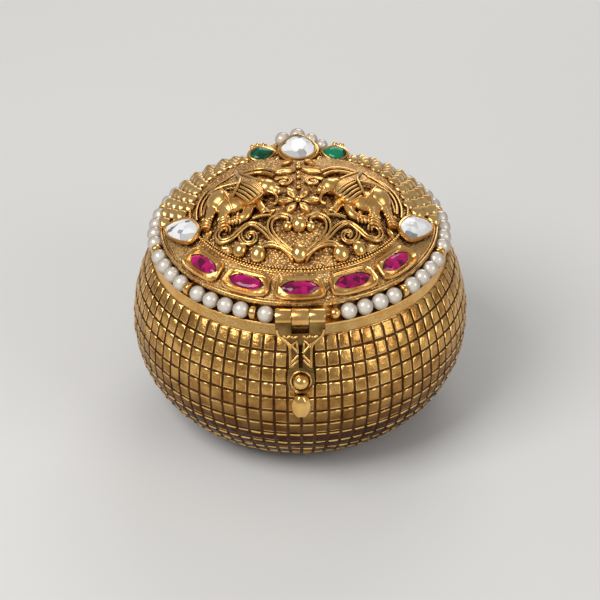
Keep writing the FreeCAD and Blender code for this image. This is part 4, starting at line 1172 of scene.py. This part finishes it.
def make_scrolls():
    """The heart in the middle, and a wave with a curl on each side of it."""
    heart = doubled(HEART, 0.92, 0.85, 0.30) + doubled(ARM, 0.78, 0.7, 0.27)
    give(drape(join(with_mirrored(heart), "heart_wires")), ["heart_scroll"], ANTIQUE_GOLD)
    side = doubled(WAVE, 0.80, 0.75, 0.27) + doubled(CURL, 0.66, 0.65, 0.23)
    give_pair(drape(join(side, "scroll")), "scroll_wires_", "scroll_", ANTIQUE_GOLD)


make_scrolls()

# %% [markdown]
# Veined leaves, ridges and loops fill the field behind the flower, and two ridges frame the field behind
# the elephants. The leaves are cast on the real lid, each with a rim, a groove and a vein, which is an
# outline raised in steps here.

# %% Leaves, loops and a stem of small balls
LEAVES = ((-3.4, 9.5, 2.9, 1.45, 12), (-16.0, -17.2, 1.7, 0.7, -35), (-20.4, -11.6, 1.6, 0.7, 60),
          (-2.6, 14.9, 2.0, 0.9, 50), (-6.6, -8.1, 1.5, 0.75, 25))
LEAF_LEVELS = ((1, -0.4), (1, 0.5), (0.88, 0.75), (0.7, 0.5), (0.35, 0.48), (0.12, 0.7))
ARCS = ([(-13.2, 10.9), (-10.2, 11.9), (-7.2, 11.2), (-5.2, 8.6)],
        [(-12.6, 9.2), (-9.8, 9.9), (-7.3, 8.9), (-5.6, 6.6)])
LOOP = [(-5.4, 5.0), (-3.8, 5.8), (-2.2, 5.3), (-1.6, 3.9), (-2.5, 2.7), (-3.9, 2.7), (-4.3, 3.7),
        (-3.4, 4.3), (-2.8, 3.7)]
STEM = ((1.2, 0.6), (3.0, 0.5), (6.0, 0.65), (8.2, 0.55), (11.6, 0.8), (14.0, 0.65))


def make_leaves():
    """Leaves, paired ridges and loops on each side of the stem."""
    left = []
    for x, y, long, wide, turn in LEAVES:
        leaf = raised("leaf", drawn_in(pointed(20, long, wide, 2.2), LEAF_LEVELS), 60)
        left.append(put(leaf, at(x, y) @ turned(turn, "Z")))
    left += [ridge(path, 0.7, 0.42) for path in ARCS] + doubled(LOOP, 0.5, 0.55, 0.22)
    balls = [ball((0, y, 0.3), radius, 14, 8) for y, radius in STEM]
    give(drape(join(with_mirrored(left) + balls, "field_leaves")), [], ANTIQUE_GOLD)


make_leaves()

# %% The ridges that frame the field behind the elephants
FRAME_LINES = ([(-23.2, -5.3), (-23.5, -2.5), (-23.1, 0.8), (-22.2, 3.8), (-20.7, 6.3), (-18.8, 8.3)],
               [(-22.2, -4.4), (-22.4, -1.8), (-22.0, 1.0), (-21.0, 3.6), (-19.5, 5.7)])
frame_ridges = drape(join([ridge(path, 0.6, 0.34) for path in FRAME_LINES], "ridges"))
give_pair(frame_ridges, "frame_ridges_", "frame_lines_", ANTIQUE_GOLD)

# %% [markdown]
# Gold balls are soldered half into the ground round the heart. A whole ball is modelled, because its
# lower half is hidden in the sheet, and what would come out under the sheet is pressed flat.

# %% Granules
GRANULES = ((0, -12.8, 1.65), (-2.6, -13.0, 1.1), (2.6, -13.0, 1.1), (0, -20.9, 1.75), (-9.2, -20.3, 1.75),
            (9.2, -20.3, 1.75), (-13.2, -18.3, 1.55), (13.2, -18.3, 1.55))
RELIEF_FLOOR = -0.5


def sink(piece):
    """Keeps a piece modelled over the flat plan from coming through the sheet."""
    for vertex in piece.data.vertices:
        vertex.co.z = max(vertex.co.z, RELIEF_FLOOR * MM)
    return piece


gold_balls = [ball((x, y, radius * 0.45), radius, 24, 14, 0.95) for x, y, radius in GRANULES]
give(drape(sink(join(gold_balls, "gold_balls"))), ["gold_granules"], BRIGHT_GOLD)

# %% [markdown]
# A flower of six pointed petals stands between the elephants. One petal is raised like the leaves, and
# tipped a little so that it climbs outwards; its copies turn round the middle.

# %% Flower
FLOWER = (-0.2, -4.2)
PETAL_LEVELS = ((1, -0.4), (1, 0.55), (0.9, 0.78), (0.66, 0.55), (0.4, 0.5), (0.14, 0.75))


def make_flower():
    """Six pointed petals, each a rim, a groove and a vein, round a small ball."""
    petal = raised("petal", drawn_in(pointed(20, 2.25, 1.0, 2.0), PETAL_LEVELS), 60)
    petals = [copy_at(petal, at(*FLOWER) @ turned(60 * step, "Z") @ at(3.0, 0) @ turned(-6, "Y"))
              for step in range(6)]
    remove(petal)
    petals.append(ball((*FLOWER, 0.6), 0.85, 14, 8))
    give(drape(join(petals, "flower_petals")), ["flower"], ANTIQUE_GOLD)


make_flower()

# %% [markdown]
# ## The elephants
# Each elephant was pressed as one form and then chased. It is built the same way: round masses for rump,
# belly, shoulder, head and legs are melted into one skin by a voxel remesh, which sculptors use too, and the
# crisp work goes on top: the pleated ear, the cloth with its hem, the girth, the anklets with their bells,
# the tail and the trunk. The left one is modelled and the right one is its mirror image.

# %% Masses: place over the plan, half sizes along x, y and up, turn in degrees
MASSES = (
    (-18.2, -1.2, 1.2, 2.8, 2.9, 2.4, 0), (-15.2, -2.8, 0.7, 4.2, 3.6, 2.0, -10),
    (-12.0, -2.4, 0.7, 2.8, 3.5, 1.8, 0), (-7.4, 0.5, 1.1, 2.4, 2.2, 2.1, -6),
    (-5.2, -0.6, 0.7, 1.4, 1.2, 1.2, -30), (-9.9, -1.2, 0.7, 2.1, 2.9, 1.7, 0),
    (-8.5, 0.9, 1.9, 1.35, 1.35, 1.35, 0), (-16.3, 2.2, 0.5, 3.9, 2.6, 1.6, 10))

# %% Legs: a path of places, each with the leg's half thickness
LEGS = (
    ((-11.1, -4.9, 0.8, 1.25), (-11.4, -7.7, 0.9, 1.25), (-12.6, -9.4, 0.8, 1.1), (-15.4, -9.3, 0.6, 0.9)),
    ((-9.6, -3.8, 0.8, 1.1), (-8.6, -6.2, 0.8, 0.95), (-7.5, -8.6, 0.6, 0.9)),
    ((-17.0, -4.6, 0.7, 1.4), (-17.0, -7.4, 0.6, 1.1), (-16.9, -9.8, 0.5, 1.15), (-16.9, -10.9, 0.4, 1.45)),
    ((-19.3, -2.6, 0.7, 1.35), (-20.2, -5.6, 0.6, 1.05), (-20.9, -8.3, 0.5, 1.1), (-21.2, -9.4, 0.4, 1.4)))


def elephant_skin():
    """The round masses and the legs melted into one skin."""
    forms = []
    for x, y, lift, *half_sizes, turn in MASSES:
        place = at(x, y, lift) @ turned(turn, "Z") @ Matrix.Diagonal((*half_sizes, 1))
        forms.append(put(ball((0, 0, 0), 1, 32, 20), place))
    forms += [wire(leg, 1, 6) for leg in LEGS]
    skin = join(forms, "elephant")
    modify(skin, "REMESH", mode="VOXEL", voxel_size=0.14 * MM, use_smooth_shade=True)
    modify(skin, "SMOOTH", factor=0.6, iterations=6)
    return add_finishes(skin, ANTIQUE_GOLD)


# %% [markdown]
# Cloth and ear are flat patches laid over the skin. The ear's pleats could be a bump, but they stand out
# far enough to catch the light on their own, so each is a short wire bowed over the plate.

# %% The cloth and the pleated ear
CLOTH = ((-20.4, 0.7), (-19.6, 3.2), (-14.3, 6.3), (-12.6, 1.0))
EAR = ((-14.8, -3.2), (-13.1, 2.3), (-9.4, 1.0), (-8.1, -1.4), (-8.1, -4.0), (-11.4, -7.0))
EAR_TIP = ((-14.5, 9.2), (-13.1, 1.6), (-9.4, 3.6))
PLEAT_TOPS = ((-14.7, -2.6), (-13.0, 2.0), (-9.8, 0.9))
PLEAT_FEET = ((-11.6, -6.6), (-8.4, -3.9), (-8.4, -1.4))
PLEATS = 8


def plate(corners, low, high):
    """A flat patch between corners, its edges softened by a bevel."""
    clear()
    bpy.ops.mesh.primitive_circle_add(vertices=len(corners), radius=MM, fill_type="NGON")
    piece = bpy.context.object
    for vertex, (x, y) in zip(piece.data.vertices, corners):
        vertex.co = (x * MM, y * MM, low * MM)
    edit(piece)
    bpy.ops.mesh.extrude_region_move(TRANSFORM_OT_translate={"value": (0, 0, (high - low) * MM)})
    return bevel(tidy(piece), 0.18)


def between(corners, share):
    """A plan point along a line of corners."""
    reach = share * (len(corners) - 1)
    index = min(int(reach), len(corners) - 2)
    return [a + (b - a) * (reach - index) for a, b in zip(corners[index], corners[index + 1])]


def pleats():
    """Ridges fanned over the ear, bowed most in its middle."""
    made = []
    for pleat in range(PLEATS):
        share = (pleat + 0.5) / PLEATS
        (x, y), (end_x, end_y) = between(PLEAT_TOPS, share), between(PLEAT_FEET, share)
        bow = math.sin(math.pi * share) * 0.3
        middle = ((x + end_x) / 2, (y + end_y) / 2, 3.2 + bow)
        made.append(wire([(x, y, 2.9), middle, (end_x, end_y, 2.6)], 0.34))
    return made


# %% Hems, girth, tail and trunk: the wire's radius and its path
DRESS_LINES = {
    "lower hem": (0.34, [(-20.7, 1.5, 2.2), (-18.6, 1.3, 3.2), (-16.0, 1.5, 3.2), (-13.2, 1.7, 3.0)]),
    "front hem": (0.34, [(-14.5, 9.2, 2.2), (-14.2, 5.8, 3.0), (-13.1, 2.6, 3.5), (-13.9, -0.6, 3.5),
                         (-14.9, -3.4, 2.9)]),
    "edge of the ear's tip": (0.30, [(-14.5, 9.2, 1.7), (-12.2, 6.6, 2.0), (-9.5, 3.6, 1.8)]),
    "upper hem": (0.26, [(-20.3, 1.6, 2.5), (-19.3, 3.4, 2.8), (-14.4, 6.3, 2.8), (-14.4, 9.2, 2.0)]),
    "girth": (0.36, [(-17.8, 1.4, 2.9), (-17.0, -0.8, 3.2), (-16.3, -2.9, 3.0), (-15.5, -4.8, 2.35),
                     (-15.0, -6.2, 1.5)]),
    "tail": (0.36, [(-20.0, 1.4, 1.2), (-21.5, -0.6, 0.9), (-21.7, -4.4, 0.7)]),
    "rein along the tail": (0.26, [(-19.4, 0.8, 1.2), (-20.6, -1.0, 0.9), (-20.9, -4.0, 0.7)]),
    "trunk": (0.34, [(-7.0, -1.4, 1.5), (-5.6, -1.9, 1.3), (-4.7, -3.8, 0.9), (-5.1, -5.4, 0.7),
                     (-6.1, -5.6, 0.8)]),
    "ground under the forefoot": (0.42, [(-10.4, -9.6, 0.7), (-8.6, -9.0, 1.0), (-6.2, -9.2, 0.7)])}

# %% Anklets: place, turn in degrees and width. Bells: place
ANKLETS = (
    (-13.2, -9.6, 90, 1.0), (-14.0, -9.6, 90, 0.98), (-14.8, -9.5, 90, 0.95), (-15.6, -9.4, 90, 0.9),
    (-16.95, -8.2, 0, 1.15), (-16.95, -9.2, 0, 1.3), (-16.95, -10.1, 0, 1.4), (-20.5, -7.0, -18, 1.05),
    (-20.8, -7.9, -18, 1.2), (-21.0, -8.7, -18, 1.3), (-7.7, -7.9, 15, 1.0), (-7.4, -8.8, 15, 1.15))
BELLS = ((-18.0, -8.5), (-17.3, -8.8), (-16.6, -8.8), (-15.9, -8.5), (-21.6, -7.0), (-20.9, -7.3),
         (-20.2, -7.3), (-19.5, -7.0), (-13.7, -8.3), (-13.8, -9.1), (-13.8, -9.9))


def elephant_dress():
    """All that lies on the skin, each piece with its finish."""
    plain = [plate(EAR, 1.0, 2.75)] + pleats()
    plain += [wire(points, radius) for radius, points in DRESS_LINES.values()]
    plain += [hoop(wide * 0.8, 0.3, 20, at(x, y, 0.75) @ turned(turn, "Z") @ turned(90, "X"))
              for x, y, turn, wide in ANKLETS]
    plain += [ball((x, y, 1.55), 0.42, 12, 8) for x, y in BELLS]
    grained = [plate(CLOTH, 0.4, 2.7), plate(EAR_TIP, 0.4, 1.9)]
    return ([add_finishes(piece, ANTIQUE_GOLD) for piece in plain]
            + [add_finishes(piece, GRAINED_GOLD) for piece in grained])


# %% Both elephants
elephant = drape(sink(join([elephant_skin()] + elephant_dress(), "elephant")))
give_pair(elephant, "elephant_form_", "elephant_")

# %% [markdown]
# ## The hasp
# A hinged strap hangs from the lid and its eye snaps over a ball on the bowl. The barrel is rolled from the
# same strip, so its knuckles have thin dark gaps. The strap is a grid laid on a taper, bent back as the
# bowl's wall is, thickened, pierced for the ball and gouged for a dark chased line. It carries chased
# crosses and ends in a faceted drop to lift it by.

# %% Places on the strap
PIN_Y, PIN_Z = 33.7, 44.2
BARREL, PIN = 2.0, 0.8
MIDDLE_HALF, SIDE_GAP, LENGTH_HALF = 1.9, 0.08, 5.45
SHOULDER = 41.3
TAPER = ((PIN_Z, LENGTH_HALF), (SHOULDER, LENGTH_HALF), (40.2, 4.6), (38.0, 2.65), (33.6, 2.55), (32.4, 2.85),
         (30.3, 3.1), (29.0, 2.7), (27.9, 1.1))
STRAP_THICK = 0.9
FLAT_DOWN_TO, FLAT_BACK = 38.38, 34.8
ARC_CENTRE, STRAP_ARC = 3.67, 35.18
LIP_FROM, LIP_BACK, LIP_FLARE = 29.0, 38.14, 1.96 / 1.1
STUD_PLACE = at(0, -37.5, 30.304) @ turned(76, "X")


def strap_back(height):
    """How far in front of the box's axis the strap's inner face is: flat, then an arc, then a lip."""
    if height > FLAT_DOWN_TO:
        return FLAT_BACK
    if height > LIP_FROM:
        return ARC_CENTRE + math.sqrt(STRAP_ARC ** 2 - (height - BELLY_HEIGHT) ** 2)
    return LIP_BACK + (LIP_FROM - height) * LIP_FLARE


def strap_half(height):
    """Half the strap's width at a height."""
    for (high, wide), (low, narrow) in zip(TAPER, TAPER[1:]):
        if height >= low:
            return wide + (narrow - wide) * (high - height) / (high - low)
    return TAPER[-1][1]


def on_strap(x, height):
    """A point just over the strap's front face."""
    return x, -(strap_back(height) + STRAP_THICK + 0.02), height


# %% The strap
HALF_COLUMNS = (0.18, 0.3633, 0.53, 0.7, 0.86, 1)
STRAP_COLUMNS = (*(-share for share in HALF_COLUMNS[::-1]), 0, *HALF_COLUMNS)
STRAP_ROWS = 48
EYE_RADIUS = 1.97
GOUGE_PLACE = at(0, -36.85, 35.9) @ turned(-23.3, "X") @ Matrix.Diagonal((1, 1.5, 1, 1))


def carve(piece, tool):
    """Cuts a tool's form out of a piece and takes the tool away."""
    modify(piece, "BOOLEAN", operation="DIFFERENCE", object=tool, solver="EXACT")
    remove(tool)


def strap_sheet():
    """A grid laid along the strap's taper and bends, slotted for the lid's knuckle."""
    clear()
    across = len(STRAP_COLUMNS) - 1
    bpy.ops.mesh.primitive_grid_add(x_subdivisions=across, y_subdivisions=STRAP_ROWS, size=2 * MM)
    strap = bpy.context.object
    (high, _), (low, _) = TAPER[0], TAPER[-1]
    for vertex in strap.data.vertices:
        column = round((vertex.co.x / MM + 1) / 2 * across)
        row = round((vertex.co.y / MM + 1) / 2 * STRAP_ROWS)
        height = low + (high - low) * row / STRAP_ROWS
        x = STRAP_COLUMNS[column] * strap_half(height)
        vertex.co = (x * MM, -strap_back(height) * MM, height * MM)
    slot_half = (MIDDLE_HALF + SIDE_GAP) * MM
    pick(strap, lambda face: face.center.z > SHOULDER * MM and abs(face.center.x) < slot_half)
    bpy.ops.mesh.delete(type="FACE")
    tidy(strap)
    if strap.data.polygons[0].normal.y > 0:
        strap.data.flip_normals()
    return strap


def make_strap():
    """The strap with its thickness, its eye and its dark gouged line."""
    strap = modify(strap_sheet(), "SOLIDIFY", thickness=STRAP_THICK * MM, offset=1)
    carve(strap, rod(EYE_RADIUS, 8, 32, STUD_PLACE))
    carve(strap, rod(0.46, 5.2, 12, GOUGE_PLACE))
    tidy(bevel(strap, 0.1, angle=50), 40)
    # The strap's face takes the dark gold of the painted reflection, the gouged line the chased lines' gold.
    add_finishes(strap, STRAP_DARK_REFLECTION_GOLD, GROOVE_GOLD)
    for face in strap.data.polygons:
        x, y, z = face.center / MM
        depth = y + strap_back(z) + STRAP_THICK
        face.material_index = 1 if 33.2 < z < 38.6 and 0.12 < depth < 0.8 and abs(x) < 0.6 else 0
    return strap


# %% [markdown]
# The chased crosses and the raised edges could be cut into the strap, but they stand proud of it on the
# real one. So they are fine wires that lie on its front face and follow its bends.

# %% Knuckles, chased lines and the ring round the eye
EDGE_HEIGHTS = (42.4, SHOULDER, 40.2, 39.1, 38.0, 36.0, 34.5, 33.6)
CROSSES = (((4.3, 40.3), (3.3, 39.4), (2.2, 38.3), (1.3, 37.4), (0.5, 36.6)),
           ((0.5, 36.2), (1.0, 35.7), (1.6, 35.1), (2.2, 34.5)),
           ((0.75, 38.9), (0.72, 38.1), (0.66, 37.3), (0.6, 36.7)),
           ((0.66, 39.4), (1.2, 38.9), (1.8, 38.2), (2.3, 37.6)),
           ((2.1, 33.7), (1.6, 34.2), (1.0, 34.7), (0.6, 35.2)),
           ((3.9, 40.7), (3.0, 40.0), (2.2, 40.7), (1.4, 39.9), (0.5, 40.6)))


def knuckle(x_low, x_high, radius):
    """One rolled knuckle on the pin, its ends softly bevelled."""
    place = at((x_low + x_high) / 2, -PIN_Y, PIN_Z) @ turned(90, "Y")
    return rod(radius, x_high - x_low, 40, place, 0.16)


def make_hasp():
    """The strap with its two knuckles, its raised edges and crosses, and the ring round its eye."""
    inner = MIDDLE_HALF + SIDE_GAP
    trims = [knuckle(-LENGTH_HALF, -inner, BARREL), knuckle(inner, LENGTH_HALF, BARREL)]
    for sign in (-1, 1):
        edge = [on_strap(sign * (strap_half(height) - 0.32), height) for height in EDGE_HEIGHTS]
        trims.append(wire(edge, 0.30))
        trims += [wire([on_strap(sign * x, height) for x, height in path], 0.27) for path in CROSSES]
    trims.append(hoop(2.22, 0.22, 36, STUD_PLACE @ at(0, 0, 0.35 + STRAP_THICK)))
    for trim in trims:
        add_finishes(trim, BRIGHT_GOLD)
    give(join([make_strap()] + trims, "hasp_strap"), ["hasp"], body="hasp")


make_hasp()

# %% [markdown]
# The drop is cut like a bead with six sides. It is raised level by level, without smoothing, and a bevel
# on every edge that turns by more than a few degrees keeps its facets crisp and apart.

# %% The drop under the eye
KNOB_SIDES = 6
KNOB_HALF, KNOB_LONG = (2.4, 1.85), 5.5
KNOB_LEVELS = ((0.42, -0.51), (0.76, -0.43), (0.95, -0.30), (1.0, -0.14), (0.97, 0.04), (0.74, 0.33),
               (0.36, 0.5))


def make_knob():
    """A six-sided drop, cut with facets above and left round below."""
    middle = sum(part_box("hasp_knob"), Vector()) / 2
    turns = [2 * math.pi * step / KNOB_SIDES for step in range(KNOB_SIDES)]
    outline = [(math.cos(turn) * KNOB_HALF[0], math.sin(turn) * KNOB_HALF[1]) for turn in turns]
    levels = [(share, level * KNOB_LONG) for share, level in KNOB_LEVELS]
    knob = tidy(bevel(raised("drop_knob", drawn_in(outline, levels), None), 0.22, angle=12), 25)
    knob.data.transform(Matrix.Translation((0, middle.y, middle.z)))
    give(knob, ["hasp_knob"], BRIGHT_GOLD, "hasp")


make_knob()

# %% [markdown]
# The ball on the bowl was turned with its stem and riveted inside the wall. What is turned on a lathe is
# spun from its section here too, from the rivet head up to the ball's pole, and then leaned on the wall.

# %% The ball on the bowl
STUD_RADIUS, STUD_MIDDLE = 1.75, 1.85
RIVET_AND_STEM = [(0, -2.1), (1.4, -2.1), (1.5, -2.0), (1.5, -1.6), (0.8, -1.55), (0.8, 0.25)]


def make_stud():
    """A turned ball, from the angle where it leaves its stem up to its pole."""
    turns = [math.radians(angle) for angle in range(30, 180, 10)]
    rounding = [(STUD_RADIUS * math.sin(turn), STUD_MIDDLE - STUD_RADIUS * math.cos(turn)) for turn in turns]
    stud = spin_section("clasp_ball", RIVET_AND_STEM + rounding + [(0, STUD_MIDDLE + STUD_RADIUS)], 32)
    give(put(stud, STUD_PLACE), ["clasp_stud"], BRIGHT_GOLD, "bowl")


make_stud()

# %% [markdown]
# The lid holds the middle knuckle of the barrel on a short web, and a pin runs through all three. The web
# is a bevelled block, and knuckle and pin are the same bevelled rod as the strap's own knuckles.

# %% The lid's own knuckle, its web and the pin
WEB_BACK, WEB_HEIGHT = 30.55, 2.4


def make_lug():
    """The middle knuckle on its web, and the pin through the barrel."""
    clear()
    bpy.ops.mesh.primitive_cube_add(size=1)
    sizes = (2 * MIDDLE_HALF * MM, (PIN_Y - WEB_BACK) * MM, WEB_HEIGHT * MM, 1)
    web = put(bpy.context.object, at(0, -(PIN_Y + WEB_BACK) / 2, PIN_Z) @ Matrix.Diagonal(sizes))
    lug = join([knuckle(-MIDDLE_HALF, MIDDLE_HALF, BARREL), bevel(web, 0.12)], "lid_lug")
    give(lug, ["clasp_lug"], ANTIQUE_GOLD)
    pin = knuckle(-LENGTH_HALF, LENGTH_HALF, PIN)
    pin.name = "hasp_pin"
    give(pin, ["clasp_pin"], BRIGHT_GOLD)


make_lug()

# %% [markdown]
# ## Solids that stay
# The crest's plate and the rear hinge already have their real shapes, so they only get the same gold as the
# rest.

# %% Finishes for the solids that stay
for node, finish in (("crest_plate", GRAINED_GOLD), ("rear_hinge_knuckles", ANTIQUE_GOLD),
                     ("rear_hinge_pin", BRIGHT_GOLD), ("lid_hinge_leaf", ANTIQUE_GOLD)):
    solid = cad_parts[node]
    solid.data.materials.clear()
    add_finishes(solid, finish)

# %% [markdown]
# ## Camera, floor and light
# The camera stands where the photographer's did: a long lens half a metre off, looking down at the ring of
# pearls. The floor and the world are plain and pale, with one large soft lamp from the left, where the
# bowl's brightest squares are, and two weaker ones that draw the right side and the back.

# %% Camera
CAMERA_REACH = 528
CAMERA_TILT, AIM_DROP, CAMERA_ROLL = 33.51, 1.687, -0.69
SENSOR_WIDTH, FOCAL_LENGTH = 36, 138.0


def make_camera():
    """A long lens in front of the box."""
    bpy.ops.object.camera_add()
    camera = bpy.context.object
    camera.data.sensor_width = SENSOR_WIDTH
    camera.data.lens = FOCAL_LENGTH
    camera.data.clip_start = 10 * MM
    tilt = math.radians(CAMERA_TILT)
    ring = Vector((0, 0, PEARL_HEIGHT * MM))
    camera.location = ring + CAMERA_REACH * MM * Vector((0, -math.cos(tilt), math.sin(tilt)))
    camera.rotation_mode = "QUATERNION"
    pitch = math.pi / 2 - tilt - math.radians(AIM_DROP)
    turn = Matrix.Rotation(pitch, 3, "X") @ Matrix.Rotation(math.radians(CAMERA_ROLL), 3, "Z")
    camera.rotation_quaternion = turn.to_quaternion()
    bpy.context.scene.camera = camera


make_camera()


# %% Floor
def make_floor():
    """A pale floor under the box."""
    clear()
    bpy.ops.mesh.primitive_plane_add(size=6)
    floor = bpy.context.object
    floor.name = "floor"
    pale = Finish("pale floor")
    pale.fill(pale.shader, {"Base Color": (0.74, 0.73, 0.71), "Roughness": 0.9})
    add_finishes(floor, pale.material)


make_floor()

# %% Lamps and world
LAMPS = (("key", (-0.30, -0.22, 0.50), 2.2), ("fill", (0.45, -0.30, 0.30), 0.75),
         ("back", (0.10, 0.50, 0.35), 0.9))
LAMP_SIZE = 0.34
LAMPS_AIM = (0, 0, 30 * MM)
WORLD_STRENGTH = 0.34


def make_lights():
    """Soft square lamps that look at the middle of the box, under a pale world. Places are in metres."""
    for name, place, power in LAMPS:
        bpy.ops.object.light_add(type="AREA", location=place)
        lamp = bpy.context.object
        lamp.name = name
        lamp.data.size = LAMP_SIZE
        lamp.data.energy = power
        lamp.rotation_mode = "QUATERNION"
        lamp.rotation_quaternion = (Vector(LAMPS_AIM) - Vector(place)).to_track_quat("-Z", "Y")
    world = bpy.data.worlds.new("pale world")
    world.use_nodes = True
    sky = world.node_tree.nodes["Background"]
    sky.inputs["Color"].default_value = (1, 1, 1, 1)
    sky.inputs["Strength"].default_value = WORLD_STRENGTH
    bpy.context.scene.world = world
    bpy.context.scene.view_settings.view_transform = "Standard"


make_lights()
